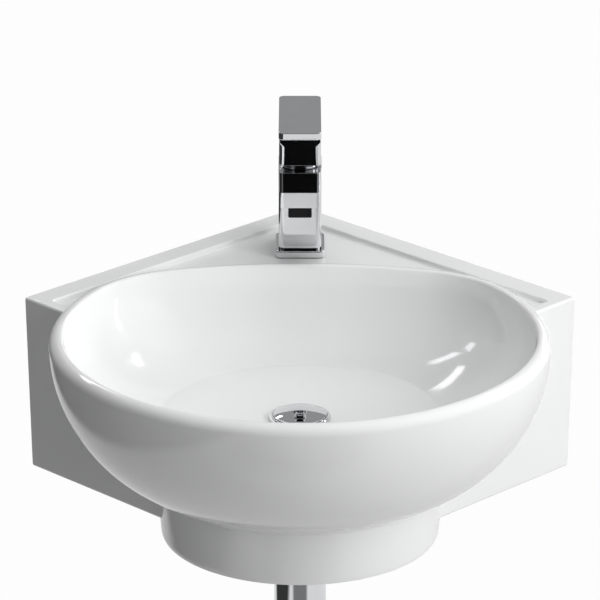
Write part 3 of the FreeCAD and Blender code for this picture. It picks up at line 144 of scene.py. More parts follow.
class DrainSizes(bpy.types.PropertyGroup):
    """Sizes of the waste and the trap, in millimetres."""
    seal: mm("Flange seal", "Seal under the flange", 1)
    flange: mm("Flange", "Radius of the flange", 27.4)
    flange_height: mm("Flange height", "Height of the flange", 3.2)
    flange_lip: mm("Flange lip", "Width of the flange's raised lip", 3.2)
    plug_gap: mm("Plug gap", "Gap around the plug", 0.5)
    plug_edge: mm("Plug edge", "Height of the plug's edge", 1.6)
    plug_dome: mm("Plug dome", "Rise of the plug's dome", 3.2)
    tail: mm("Tail", "Radius of the threaded tail", 20.9)
    tail_bore: mm("Tail bore", "Bore of the tail", 17.4)
    tail_length: mm("Tail length", "Floor to the end of the tail", 58)
    pipe: mm("Pipe", "Radius of the dip tube and outlet pipe", 16)
    pipe_wall: mm("Pipe wall", "Wall of those tubes", 1.2)
    bottle: mm("Bottle", "Radius of the bottle", 23.2)
    bottle_wall: mm("Bottle wall", "Wall of the bottle", 1.6)
    bottle_top: mm("Bottle top", "Rim to the top of the bottle", 180.5)
    bottle_length: mm("Bottle length", "Bottle without its cup", 143)
    cup_seal: mm("Cup seal", "Seal between cup and bottle", 1.5)
    cup: mm("Cup", "Height of the cup", 20)
    outlet_drop: mm("Outlet drop", "Rim to the axis of the outlet", 205.5)
    branch: mm("Branch", "Radius of the bottle's branch", 19)
    branch_reach: mm("Branch reach", "Trap axis to the end of the branch", 42)
    pipe_entry: mm("Pipe entry", "Trap axis to the pipe's end", 30)
    pipe_stub: mm("Pipe stub", "Pipe beyond the wall face", 20)
    rosette: mm("Rosette", "Radius of the wall rosette", 24)
    rosette_depth: mm("Rosette depth", "Depth of the rosette", 9)


class FinishColours(bpy.types.PropertyGroup):
    """Colours of the finishes."""
    glaze: tint("Glaze", "White sanitary glaze", (0.87, 0.875, 0.875))
    chrome: tint("Chrome", "Polished chrome plate", (0.83, 0.84, 0.855))
    rubber: tint("Rubber", "Black seal rubber", (0.02, 0.02, 0.022))
    plastic: tint("Plastic", "Moulded grey plastic", (0.52, 0.53, 0.54))
    black: tint("Black plastic", "Black glossy plastic", (0.006, 0.006, 0.007))
    disc: tint("Alumina", "Ceramic discs", (0.82, 0.79, 0.73))
    brass: tint("Brass", "Turned brass", (0.72, 0.53, 0.24))
    steel: tint("Steel", "Bright steel", (0.56, 0.57, 0.58))
    floor: tint("Floor", "Pale studio floor", (0.985, 0.985, 0.985))


# ---------------------------------------------------------------- shaping by hand

def deselect_all():
    """Nothing selected, object mode."""
    if bpy.context.object and bpy.context.object.mode != "OBJECT":
        bpy.ops.object.mode_set(mode="OBJECT")
    bpy.ops.object.select_all(action="DESELECT")


def choose(piece):
    """Only this piece is selected and active."""
    deselect_all()
    piece.select_set(True)
    bpy.context.view_layer.objects.active = piece


def circle_row(radius, z, count, at=(0.0, 0.0)):
    """A row of points round an upright axis."""
    return [Vector((at[0] + radius * math.cos(2 * math.pi * i / count),
                    at[1] + radius * math.sin(2 * math.pi * i / count), z)) for i in range(count)]


def loft(name, rows, closed=False, cap=True):
    """A circle primitive shaped to the first row and extruded to each next one."""
    deselect_all()
    count = len(rows[0])
    bpy.ops.mesh.primitive_circle_add(vertices=count, radius=1.0)
    piece = bpy.context.object
    piece.name = piece.data.name = name
    for vertex, point in zip(piece.data.vertices, rows[0]):
        vertex.co = point * MM
    bpy.ops.object.mode_set(mode="EDIT")
    bpy.ops.mesh.select_mode(type="VERT")
    bpy.ops.mesh.select_all(action="SELECT")
    order = {index: index for index in range(count)}
    for row in rows[1:]:
        bpy.ops.mesh.extrude_edges_move()
        mesh = bmesh.from_edit_mesh(piece.data)
        fresh = {}
        for vertex in mesh.verts:
            if vertex.select:
                old = next(edge.other_vert(vertex) for edge in vertex.link_edges
                           if not edge.other_vert(vertex).select)
                fresh[vertex.index] = order[old.index]
                vertex.co = row[order[old.index]] * MM
        order = fresh
        bmesh.update_edit_mesh(piece.data)
    bpy.ops.mesh.select_all(action="SELECT")
    bpy.ops.mesh.remove_doubles(threshold=1e-6)
    if closed:
        bpy.ops.mesh.select_all(action="DESELECT")
        bpy.ops.mesh.select_non_manifold(extend=False, use_wire=False, use_multi_face=False,
                                         use_non_contiguous=False, use_verts=False)
        bpy.ops.mesh.bridge_edge_loops()
    elif cap:
        bpy.ops.mesh.select_all(action="SELECT")
        bpy.ops.mesh.fill_holes(sides=0)
    face_outwards()
    bpy.ops.object.mode_set(mode="OBJECT")
    return piece


def face_outwards():
    """All faces point out; called in edit mode."""
    bpy.ops.mesh.select_all(action="SELECT")
    bpy.ops.mesh.normals_make_consistent(inside=False)


def settle(piece, at, towards=UP):
    """Turn an upright piece towards a direction and move it to its place, in millimetres."""
    turn = Vector(UP).rotation_difference(Vector(towards)).to_matrix().to_4x4()
    piece.data.transform(Matrix.Translation(Vector(at) * MM) @ turn)
    return piece


def turned(name, profile, at, count=96, towards=UP):
    """A form turned round an axis from (radius, height) pairs."""
    rows = [circle_row(radius, z, count) for radius, z in profile]
    return settle(loft(name, rows, closed=True), at, towards)


def softened(profile, radius, steps=3):
    """The profile with every corner rounded."""
    count = len(profile)
    out = []
    for i, here in enumerate(profile):
        before = Vector(profile[i - 1]) - Vector(here)
        after = Vector(profile[(i + 1) % count]) - Vector(here)
        reach = min(radius, before.length * 0.45, after.length * 0.45)
        start = Vector(here) + before.normalized() * reach
        end = Vector(here) + after.normalized() * reach
        for step in range(steps + 1):
            t = step / steps
            out.append(tuple(start * (1 - t) ** 2 + Vector(here) * 2 * t * (1 - t) + end * t ** 2))
    return out


def block(name, low, high):
    """A cube primitive drawn out between two corners, in millimetres."""
    deselect_all()
    low, high = Vector(low) * MM, Vector(high) * MM
    bpy.ops.mesh.primitive_cube_add(size=1.0, location=(low + high) / 2)
    piece = bpy.context.object
    piece.name = piece.data.name = name
    piece.scale = high - low
    bpy.ops.object.transform_apply(location=True, rotation=True, scale=True)
    return piece


def rod(name, radius, foot, length, count=64, towards=UP):
    """A cylinder primitive from its foot along a direction, in millimetres."""
    deselect_all()
    axis = Vector(towards).normalized()
    bpy.ops.mesh.primitive_cylinder_add(vertices=count, radius=radius * MM, depth=length * MM)
    piece = bpy.context.object
    piece.name = piece.data.name = name
    return settle(piece, Vector(foot) + axis * length / 2, axis)


def bevel(piece, wanted, width, segments=4):
    """Round the edges that wanted(edge) picks, where an edge is given by its two ends in millimetres."""
    choose(piece)
    bpy.ops.object.mode_set(mode="EDIT")
    bpy.ops.mesh.select_mode(type="EDGE")
    bpy.ops.mesh.select_all(action="DESELECT")
    mesh = bmesh.from_edit_mesh(piece.data)
    for edge in mesh.edges:
        a, b = (vertex.co / MM for vertex in edge.verts)
        edge.select_set(bool(wanted(a, b)))
    bmesh.update_edit_mesh(piece.data)
    bpy.ops.mesh.bevel(offset=width * MM, segments=segments, profile=0.5, affect="EDGES", clamp_overlap=True)
    bpy.ops.object.mode_set(mode="OBJECT")


def upright(a, b):
    """True for an edge along Z."""
    return abs(a.x - b.x) < TOUCH and abs(a.y - b.y) < TOUCH


def level_edge(z):
    """Picks edges that lie at one height."""
    return lambda a, b: abs(a.z - z) < TOUCH and abs(b.z - z) < TOUCH


def combine(piece, other, operation):
    """Join, cut or keep the overlap with another piece, which is used up."""
    choose(piece)
    step = piece.modifiers.new("combine", "BOOLEAN")
    step.operation = operation
    step.solver = "EXACT"
    step.object = other
    bpy.ops.object.modifier_apply(modifier=step.name)
    bpy.data.objects.remove(other)
    return piece


def cut(piece, *tools):
    """Cut one or more tools out of a piece."""
    for tool in tools:
        combine(piece, tool, "DIFFERENCE")
    return piece


def soften_edges(piece, width):
    """A small bevel on every edge sharper than 40 degrees."""
    choose(piece)
    step = piece.modifiers.new("soften", "BEVEL")
    step.width = width * MM
    step.segments = 3
    step.limit_method = "ANGLE"
    step.angle_limit = math.radians(40)
    bpy.ops.object.modifier_apply(modifier=step.name)


def finish(piece, body, slot, *nodes, smooth=35.0):
    """Clean, smooth, ride, slot, its material, and the nodes that the piece stands for."""
    choose(piece)
    bpy.ops.object.transform_apply(location=True, rotation=True, scale=True)
    bpy.ops.object.mode_set(mode="EDIT")
    bpy.ops.mesh.select_all(action="SELECT")
    bpy.ops.mesh.remove_doubles(threshold=2e-6)
    bpy.ops.mesh.dissolve_degenerate(threshold=1e-6)
    face_outwards()
    bpy.ops.object.mode_set(mode="OBJECT")
    bpy.ops.object.shade_smooth_by_angle(angle=math.radians(smooth))
    step = piece.modifiers.new("even_normals", "WEIGHTED_NORMAL")
    step.keep_sharp = True
    step.weight = 60
    bpy.ops.object.modifier_apply(modifier=step.name)
    piece.data.materials.clear()
    piece.data.materials.append(material(slot))
    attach(piece, body)
    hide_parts(*nodes)
    deselect_all()


# ---------------------------------------------------------------- materials

class Wire:
    """A socket that can be added and multiplied."""

    def __init__(self, kit, socket):
        self.kit = kit
        self.socket = socket

    def __add__(self, other):
        return self.kit.math("ADD", self, other)

    def __mul__(self, other):
        return self.kit.math("MULTIPLY", self, other)


class Nodes:
    """The nodes and links of a material or a world."""

    def __init__(self, owner):
        owner.use_nodes = True
        self.nodes, self.links = owner.node_tree.nodes, owner.node_tree.links

    def add(self, kind, settings=None, inputs=None, output=0):
        """A node with its settings and the values or links of its sockets."""
        node = self.nodes.new(kind)
        for key, value in (settings or {}).items():
            setattr(node, key, value)
        for key, value in (inputs or {}).items():
            if isinstance(value, Wire):
                self.links.new(value.socket, node.inputs[key])
            else:
                node.inputs[key].default_value = value
        return Wire(self, node.outputs[output])

    def math(self, operation, a, b):
        """A Math node on two values."""
        return self.add("ShaderNodeMath", {"operation": operation}, {0: a, 1: b})

    def band(self, value, low, high, start, end):
        """A value taken smoothly from start to end while it goes from low to high."""
        return self.add("ShaderNodeMapRange", {"interpolation_type": "SMOOTHSTEP"},
                        {"Value": value, "From Min": low, "From Max": high, "To Min": start, "To Max": end})


class Finish(Nodes):
    """One material and the nodes in it."""

    def __init__(self, name, **constants):
        self.material = bpy.data.materials.new(name)
        super().__init__(self.material)
        self.shader = self.nodes["Principled BSDF"]
        for socket, value in constants.items():
            self.shader.inputs[socket.replace("_", " ")].default_value = value
        self.place = self.add("ShaderNodeTexCoord", output="Object")

    def noise(self, scale, detail=3.0, rough=0.5, stretch=(1, 1, 1)):
        """Noise on object coordinates, between 0 and 1."""
        where = self.add("ShaderNodeMapping", None, {"Vector": self.place, "Scale": stretch})
        return self.add("ShaderNodeTexNoise", None,
                        {"Vector": where, "Scale": scale, "Detail": detail, "Roughness": rough})

    def spread(self, value, low, high):
        """A value between 0 and 1 taken to low..high."""
        return self.add("ShaderNodeMapRange", None, {"Value": value, "From Min": 0.3, "From Max": 0.7,
                                                     "To Min": low, "To Max": high})

    def mix(self, factor, first, second):
        """Two colours mixed."""
        return self.add("ShaderNodeMix", {"data_type": "RGBA"},
                        {0: factor, 6: (*first, 1.0), 7: (*second, 1.0)}, output=2)

    def bump(self, height, strength, distance):
        """Height to the shader's normal."""
        normal = self.add("ShaderNodeBump", None,
                          {"Height": height, "Strength": strength, "Distance": distance})
        self.join(normal, "Normal")

    def join(self, wire, socket):
        """A wire to a socket of the shader."""
        self.links.new(wire.socket, self.shader.inputs[socket])

    def paint(self, pattern, first, second):
        """The base colour wanders between two colours."""
        self.join(self.mix(self.spread(pattern, 0.0, 1.0), first, second), "Base Color")

    def gloss(self, pattern, low, high):
        """The roughness wanders between two values."""
        self.join(self.spread(pattern, low, high), "Roughness")


def darker(colour, by):
    """A colour times a number."""
    return tuple(channel * by for channel in colour)


def make_glaze(colour):
    """Fired white glaze: deep gloss, a faint cloudiness and the slight waviness of a glazed surface."""
    kit = Finish("sanitary_glaze", IOR=1.52, Specular_IOR_Level=0.5)
    cloud = kit.noise(9.0, 4.0, 0.55)
    kit.paint(cloud, colour, darker(colour, 0.985))
    kit.gloss(kit.noise(26.0, 3.0), 0.045, 0.085)
    wave = kit.noise(34.0, 2.0) + kit.noise(240.0, 2.0) * 0.12
    kit.bump(wave, 0.05, 0.0016)
    return kit.material


def make_chrome(colour):
    """Bright chrome plate with faint water marks and polishing haze."""
    kit = Finish("polished_chrome", Metallic=1.0)
    marks = kit.noise(45.0, 5.0, 0.6)
    kit.paint(marks, colour, darker(colour, 0.95))
    haze = kit.noise(14.0, 3.0)
    fine = kit.noise(900.0, 2.0, 0.5, (1, 1, 0.15))
    kit.join(kit.spread(haze, 0.02, 0.05) + kit.spread(fine, 0.0, 0.015), "Roughness")
    kit.bump(kit.noise(60.0, 2.0), 0.02, 0.0006)
    return kit.material


def make_rubber(colour):
    """Matt black seal rubber with a fine bloom."""
    kit = Finish("seal_rubber", Specular_IOR_Level=0.35)
    bloom = kit.noise(120.0, 4.0)
    kit.paint(bloom, colour, (0.05, 0.05, 0.052))
    kit.gloss(bloom, 0.55, 0.75)
    kit.bump(kit.noise(900.0, 2.0), 0.25, 0.0002)
    return kit.material


def make_plastic(colour):
    """Moulded grey plastic with a fine spark texture."""
    kit = Finish("moulded_plastic", Specular_IOR_Level=0.5)
    flow = kit.noise(30.0, 3.0, 0.5, (1, 1, 3))
    kit.paint(flow, colour, darker(colour, 0.9))
    kit.gloss(kit.noise(200.0), 0.32, 0.5)
    kit.bump(kit.noise(1400.0, 1.0), 0.2, 0.00012)
    return kit.material


def make_black(colour):
    """Black glossy plastic with a faint flow haze."""
    kit = Finish("black_plastic", Specular_IOR_Level=0.12)
    flow = kit.noise(40.0, 3.0, 0.5, (1, 1, 3))
    kit.paint(flow, colour, (0.012, 0.012, 0.013))
    kit.gloss(kit.noise(160.0), 0.08, 0.16)
    return kit.material


def make_disc(colour):
    """Lapped alumina: smooth, faintly speckled."""
    kit = Finish("lapped_alumina", Specular_IOR_Level=0.6)
    speck = kit.noise(700.0, 3.0, 0.7)
    kit.paint(speck, colour, darker(colour, 0.88))
    kit.gloss(speck, 0.12, 0.22)
    return kit.material


def make_brass(colour):
    """Turned brass with tool lines and a little tarnish."""
    kit = Finish("turned_brass", Metallic=1.0)
    tarnish = kit.noise(55.0, 5.0, 0.6)
    kit.paint(tarnish, colour, darker(colour, 0.72))
    lines = kit.noise(60.0, 2.0, 0.5, (1, 1, 40))
    kit.gloss(tarnish, 0.2, 0.34)
    kit.bump(lines, 0.25, 0.00012)
    return kit.material


def make_steel(colour):
    """Bright drawn steel with fine lines."""
    kit = Finish("drawn_steel", Metallic=1.0)
    lines = kit.noise(90.0, 3.0, 0.5, (1, 1, 30))
    kit.paint(lines, colour, darker(colour, 0.85))
    kit.gloss(lines, 0.18, 0.32)
    kit.bump(lines, 0.2, 0.0001)
    return kit.material


def make_floor(colour):
    """Pale studio sweep: bright to the eye and dimmer in its light; in reflections it shows a painted
    reflection, a glow that is dark on the left and in a disc in front of the bowl.
    """
    kit = Finish("studio_floor", Specular_IOR_Level=0.0, Roughness=1.0)
    mottle = kit.mix(kit.spread(kit.noise(1.3, 4.0), 0.0, 1.0), colour, darker(colour, 0.995))
    kit.shader.inputs["Base Color"].default_value = (0.5, 0.5, 0.5, 1.0)
    glow = kit.add("ShaderNodeEmission", None, {"Color": mottle, "Strength": 1.0})
    across = kit.add("ShaderNodeSeparateXYZ", None, {0: kit.place})
    # painted shade in reflections: the glow that glossy rays see is dark on the left and in a disc in front
    # of the bowl
    left = kit.band(across, -1.15, -0.9, 0.05, 1.0)
    apart = kit.add("ShaderNodeVectorMath", {"operation": "DISTANCE"},
                    {0: kit.place, 1: (0.0, -6.0, 0.0)}, output=1)
    shade = left * kit.band(apart, 0.7, 1.0, 0.2, 0.78)
    mirrored = kit.add("ShaderNodeEmission", None, {"Strength": shade})
    glossy = kit.add("ShaderNodeLightPath", output="Is Glossy Ray")
    seen = kit.add("ShaderNodeLightPath", output="Is Camera Ray")
    both = kit.add("ShaderNodeMixShader", None, {0: glossy, 1: Wire(kit, kit.shader.outputs[0]), 2: mirrored})
    both = kit.add("ShaderNodeMixShader", None, {0: seen, 1: both, 2: glow})
    kit.links.new(both.socket, kit.nodes["Material Output"].inputs["Surface"])
    return kit.material


FINISHES = {
    "glaze": ("sanitary_glaze", make_glaze), "chrome": ("polished_chrome", make_chrome),
    "rubber": ("seal_rubber", make_rubber), "plastic": ("moulded_plastic", make_plastic),
    "black": ("black_plastic", make_black), "disc": ("lapped_alumina", make_disc),
    "brass": ("turned_brass", make_brass), "steel": ("drawn_steel", make_steel),
    "floor": ("studio_floor", make_floor)}


def material(slot):
    """The material of a slot, made once."""
    name, make = FINISHES[slot]
    return bpy.data.materials.get(name) or make(tuple(getattr(bpy.context.scene.basin_colours, slot)))


# ---------------------------------------------------------------- the ceramic

def outline_reach(angle, front, back, back_radius, blend):
    """How far the round outline with its flatter arc behind lies from the bowl's axis at an angle."""
    back_centre = back - back_radius
    reach = front - blend
    rest = back_radius - blend
    middle_y = (reach ** 2 - rest ** 2 + back_centre ** 2) / (2 * back_centre)
    middle_x = math.sqrt(reach ** 2 - middle_y ** 2)
    front_end = math.atan2(middle_y, middle_x)
    back_start = math.atan2(back_centre + (middle_y - back_centre) * back_radius / rest,
                            middle_x * back_radius / rest)
    across, along = abs(math.cos(angle)), math.sin(angle)
    turn = math.atan2(along, across)
    if turn <= front_end:
        return front
    if turn >= back_start:
        centre, radius = (0.0, back_centre), back_radius
    else:
        centre, radius = (middle_x, middle_y), blend
    toward = across * centre[0] + along * centre[1]
    return toward + math.sqrt(toward ** 2 - centre[0] ** 2 - centre[1] ** 2 + radius ** 2)


class Bowl:
    """Rows of points for the bowl's inside, rim, outside and ring."""
    COUNT = 192
    FLAT = 30.4

    def __init__(self, sizes):
        self.s = sizes
        self.axis = -sizes.axis_setback
        self.angles = [2 * math.pi * i / self.COUNT for i in range(self.COUNT)]

    def row(self, reach, z):
        """A row from a function of the angle."""
        return [Vector((reach(a) * math.cos(a), self.axis + reach(a) * math.sin(a), z)) for a in self.angles]

    def rings(self, *pairs):
        """Round rows from pairs of radius and height."""
        return [self.row(lambda a: radius, z) for radius, z in pairs]

    def rim(self, angle, inward=0.0):
        """The rim's outline, moved inward."""
        s = self.s
        return outline_reach(angle, s.rim_radius - inward, s.rim_back - inward, s.rim_back_radius - inward,
                             s.rim_blend - inward)

    def inside(self, along, grow=0.0):
        """A row of the inner wall: along is 0 at the rim and 1 at the floor."""
        s = self.s
        bend = 2 * along * (1 - along)
        sunk = 0.66 * bend + along ** 2
        drawn = 0.05 * bend + along ** 2 * 0.97
        floor = s.floor_radius
        start = (s.rim_radius, s.rim_back, s.rim_back_radius, s.rim_blend)
        end = (floor, floor, floor * 1.3, floor * 0.6)
        form = [(a - s.lip_width) + (b - (a - s.lip_width)) * drawn + grow for a, b in zip(start, end)]
        return lambda angle: outline_reach(angle, *form), -s.floor_depth * sunk

    def wall_rows(self):
        """The whole section: hole, floor, wall, rim, side, ring and underside."""
        s = self.s
        seat = -s.floor_depth - s.floor_fall
        under = seat - s.bowl_wall
        flat, edge = self.FLAT, s.floor_radius * 0.97
        rows = self.rings((s.waste_hole, seat - 1.0), (s.waste_hole + 0.3, seat - 0.3),
                          (s.waste_hole + 1.0, seat), (flat, seat),
                          *((flat + (edge - flat) * t, seat + s.floor_fall * t)
                            for t in (0.1, 0.3, 0.5, 0.7, 0.9, 1.0, 1.036)))
        rows += [self.row(*self.inside(1 - step / 30)) for step in (0, 0.35, *range(1, 30))]
        for step in range(6):
            turn = math.pi / 2 * (1 - step / 5)
            inward = s.lip_width - s.lip_inner_round * (1 - math.sin(turn))
            rows.append(self.row(lambda a: self.rim(a, inward), s.lip_inner_round * (math.cos(turn) - 1)))
        for step in range(13):
            turn = math.pi / 2 * step / 12
            inward = s.lip_round * (1 - math.sin(turn))
            rows.append(self.row(lambda a: self.rim(a, inward), s.side_drop * (math.cos(turn) - 1)))
        centre = s.rim_radius - s.side_radius
        end = math.acos((s.ring_radius - centre) / s.side_radius)
        for step in range(1, 31):
            turn = (end - 0.03) * step / 30
            side = centre + s.side_radius * math.cos(turn)
            level = -s.side_drop - s.side_radius * math.sin(turn)
            rows.append(self.row(lambda a: min(side, self.rim(a)), level))
        low = -s.side_drop - s.side_radius * math.sin(end)
        foot = -s.ring_drop
        last = Vector((side, level))
        joint, below = Vector((s.ring_radius, low)), Vector((s.ring_radius - 0.3, low - 4))
        for step in range(1, 10):
            t = step / 9
            rows += self.rings(last * (1 - t) ** 2 + joint * 2 * t * (1 - t) + below * t ** 2)
        outer, inner = s.ring_foot_radius, s.ring_foot_radius - s.ring_wall
        shaft = s.ring_radius - s.ring_wall
        return rows + self.rings(
            (s.ring_radius - 1.6, low - 20), (outer + 0.4, foot + 6), (outer, foot + 2.5),
            (outer - 0.7, foot + 0.7), (outer - 2.5, foot), (inner + 2.5, foot), (inner + 0.7, foot + 0.7),
            (inner, foot + 2.5), (shaft, low), (shaft, under - 8), (shaft - 2, under - 2),
            (shaft - 8, under), (60.0, under), (s.waste_hole + 1.5, under), (s.waste_hole, under + 1.5))

    def core_rows(self):
        """What the corner body leaves free: the bowl to the middle of its wall, and the ring's inside."""
        s = self.s
        middle = s.lip_width / 2
        shaft = s.ring_radius - s.ring_wall + 1.5
        rows = [self.row(self.inside(0.0, middle)[0], 6.0)]
        rows += [self.row(*self.inside(step / 12, middle)) for step in range(12)]
        return rows + self.rings((shaft, -s.floor_depth - 10), (shaft, -s.ring_drop - 12))


def room_corner(point):
    """Distances from the two walls, for a point in millimetres."""
    return (-point.y - point.x) * HALF, (-point.y + point.x) * HALF


def prism(name, back, side, top, foot, draft=0.0):
    """A cube primitive drawn out in the corner of the room."""
    piece = block(name, (-1, -1, -1), (1, 1, 1))
    for vertex in piece.data.vertices:
        upper = vertex.co.z > 0
        reach = side if upper else side - draft
        u = reach if vertex.co.x > 0 else back
        v = reach if vertex.co.y > 0 else back
        vertex.co = Vector(((v - u) * HALF, -(u + v) * HALF, top if upper else foot)) * MM
    return piece


def corner_body(s):
    """The ledge, deck, walls and side panels, hollow from below."""
    ledge, deck, foot = -s.ledge_drop, -s.deck_drop, -s.panel_drop
    setback = s.axis_setback * HALF
    body = prism("corner_body", 0, s.wall_side, ledge, foot, s.panel_draft)

    def outer(a, b):
        u, v = room_corner((a + b) / 2)
        return max(u, v) > 1 and min(u, v) < setback
    bevel(body, outer, s.edge_round, 5)
    recess = prism("recess", s.ledge_width, s.wall_side - s.panel_wall, 6, deck)
    bevel(recess, upright, 4.0, 5)
    bevel(recess, level_edge(deck), 2.6, 4)
    cut(body, recess)

    def ledge_edge(a, b):
        u, v = room_corner((a + b) / 2)
        inside = min(u, v) > s.ledge_width - 1 and max(u, v) < s.wall_side - s.panel_wall + 1
        return inside and level_edge(ledge)(a, b)
    bevel(body, ledge_edge, 2.2, 4)
    cut(body,
        prism("hollow", s.back_wall, s.wall_side - s.panel_wall, deck - s.deck_thickness, foot - 10,
              s.panel_draft),
        prism("front_corner", setback, s.wall_side + 60, 8, foot - 30))
    for hand in (-1, 1):
        for step in (-1, 1):
            along = s.wall_side / 2 + step * s.fixing_pitch / 2
            start = Vector((hand * along * HALF, -along * HALF, -s.fixing_drop))
            toward = Vector((-hand, -1, 0)).normalized()
            cut(body, rod("fixing", s.fixing_radius, start - toward * 5, s.back_wall + 12, 32, toward))
    return body


class BASIN_OT_ceramic(bpy.types.Operator):
    """Builds the fired basin: bowl, rim, ledge, deck, panels and ring."""
    bl_idname = "basin.ceramic"
    bl_label = "Ceramic"

    def execute(self, context):
        s = context.scene.basin_sizes
        tap = context.scene.basin_tap
        bowl = Bowl(s)
        body = corner_body(s)
        cut(body, loft("core", bowl.core_rows()))
        shell = loft("basin_glazed", bowl.wall_rows(), closed=True)
        combine(shell, body, "UNION")
        cut(shell, rod("tap_hole", s.tap_hole, (0, -tap.setback, -40), 60))
        finish(shell, "fixed", "glaze", "basin", smooth=28)
        return {"FINISHED"}


# ---------------------------------------------------------------- the tap

PIVOT_RISE = 1.5


def tap_heights(scene):
    """The foot and the top of the tap's plate, and the column's top."""
    tap = scene.basin_tap
    foot = -scene.basin_sizes.deck_drop + tap.plate_foot
    return foot, foot + tap.plate_height, foot + tap.plate_height + tap.height


class BASIN_OT_tap_plate(bpy.types.Operator):
    """Builds the square base plate on the deck."""
    bl_idname = "basin.tap_plate"
    bl_label = "Tap base plate"

    def execute(self, context):
        t = context.scene.basin_tap
        foot, top = tap_heights(context.scene)[:2]
        plate = block("tap_base_plate_round", (-t.plate_width / 2, -t.setback - t.plate_depth / 2, foot),
                      (t.plate_width / 2, -t.setback + t.plate_depth / 2, top))
        bevel(plate, upright, t.corner, 8)
        bevel(plate, level_edge(top), 1.2, 4)
        cut(plate, rod("plate_hole", 15.05, (0, -t.setback, foot - 5), 20))
        finish(plate, "fixed", "chrome", "tap_base_plate")
        return {"FINISHED"}


class BASIN_OT_tap_body(bpy.types.Operator):
    """Builds the column with its spout, bores and water ways."""
    bl_idname = "basin.tap_body"
    bl_label = "Tap column and spout"

    def execute(self, context):
        t, s = context.scene.basin_tap, context.scene.basin_sizes
        axis = -t.setback
        foot, top = tap_heights(context.scene)[1:]
        front = axis - t.spout_reach
        column = block("tap_column", (-t.width / 2, axis - t.depth / 2, foot + t.foot_height),
                       (t.width / 2, axis + t.depth / 2, top))
        bevel(column, upright, t.corner, 8)
        half = t.spout_width / 2
        spout = block("spout", (-half, front, top - t.spout_height), (half, axis, top))
        bevel(spout, lambda a, b: upright(a, b) and a.y < front + 1, t.corner - 1, 8)
        half, back = t.width / 2 - t.foot_inset, t.depth / 2 - t.foot_inset
        neck = block("shadow_gap", (-half, axis - back, foot), (half, axis + back, foot + t.foot_height + 1))
        bevel(neck, upright, t.corner - t.foot_inset, 8)
        combine(column, spout, "UNION")
        soften_edges(column, t.edge)
        combine(column, neck, "UNION")
        combine(column, rod("spigot", 15.0, (0, axis, -s.deck_drop), foot + s.deck_drop + 1), "UNION")
        outlet = front + t.outlet_inset
        cut(column,
            rod("cartridge_bore", 14.05, (0, axis, top - 35.5), 50),
            rod("gallery_bore", 15.55, (0, axis, top - 19.5), 30),
            rod("outlet_recess", t.outlet_radius, (0, outlet, top - t.spout_height - 5),
                t.spout_height + 1.4),
            rod("stud_hole", 4.05, (0, axis + 8.6, -s.deck_drop - 1), 14, 32))
        for hand in (-1, 1):
            cut(column, rod("inlet", 4.6, (hand * 6.8, axis - 4.8, -s.deck_drop - 1), 13, 32))
        finish(column, "fixed", "chrome", "tap_body")
        return {"FINISHED"}


class BASIN_OT_tap_lever(bpy.types.Operator):
    """Builds the hollow lever with its flat front plate."""
    bl_idname = "basin.tap_lever"
    bl_label = "Tap lever"

    def execute(self, context):
        t = context.scene.basin_tap
        axis = -t.setback
        column_top = tap_heights(context.scene)[2]
        foot = column_top + t.lever_gap
        top = foot + t.lever_height
        under = top - t.lever_plate
        half, back = t.spout_width / 2, t.depth / 2
        lever = block("tap_lever_shell", (-half, axis - back, foot), (half, axis + back, top))
        choose(lever)
        bpy.ops.object.mode_set(mode="EDIT")
        for place, normal in (((0, axis, under), (0, 0, 1)), ((0, axis, foot), (0, 1, 0))):
            bpy.ops.mesh.select_all(action="SELECT")
            bpy.ops.mesh.bisect(plane_co=Vector(place) * MM, plane_no=normal)
        mesh = bmesh.from_edit_mesh(lever.data)
        bpy.ops.mesh.select_mode(type="FACE")
        bpy.ops.mesh.select_all(action="DESELECT")
        for face in mesh.faces:
            middle = face.calc_center_median() / MM
            face.select_set(face.normal.y < -0.9 and middle.z > under)
        bmesh.update_edit_mesh(lever.data)
        reach = (-(t.lever_reach - back)) * MM
        bpy.ops.mesh.extrude_region_move(TRANSFORM_OT_translate={"value": (0, reach, 0)})
        bpy.ops.mesh.select_all(action="DESELECT")
        mesh = bmesh.from_edit_mesh(lever.data)
        for vertex in mesh.verts:
            place = vertex.co / MM
            if place.y > axis + back - 1 and place.z < foot + 1:
                vertex.co.z += back * math.tan(math.radians(27)) * MM
        bmesh.update_edit_mesh(lever.data)
        bpy.ops.object.mode_set(mode="OBJECT")
        bevel(lever, lambda a, b: abs(a.y - b.y) < 0.01 and abs(a.y - (axis - back)) < 0.01
              and level_edge(under)(a, b), t.lever_throat, 8)
        bevel(lever, lambda a, b: upright(a, b) and (a.y < axis - t.lever_reach + 1 or a.y > axis + back - 1
                                                     or (abs(a.y - axis + back) < 0.5)), t.corner - 1, 8)
        cavity = rod("lever_cavity", t.cavity, (0, axis, column_top - 5), top - 6 - column_top + 5)
        pivot = column_top + PIVOT_RISE
        cut(cavity, rod("lever_boss", 9.0, (0, axis, pivot + 18.5), 60))
        cut(lever, cavity)
        cut(lever, block("stem_socket", (-4.05, axis - 4.05, pivot + 10), (4.05, axis + 4.05, pivot + 37)))
        cut(lever, rod("screw_way", 3.25, (0, axis + 10, pivot + 27), 30, 32, (0, 1, 0)))
        soften_edges(lever, t.edge)
        finish(lever, "lever", "chrome", "tap_lever")
        return {"FINISHED"}


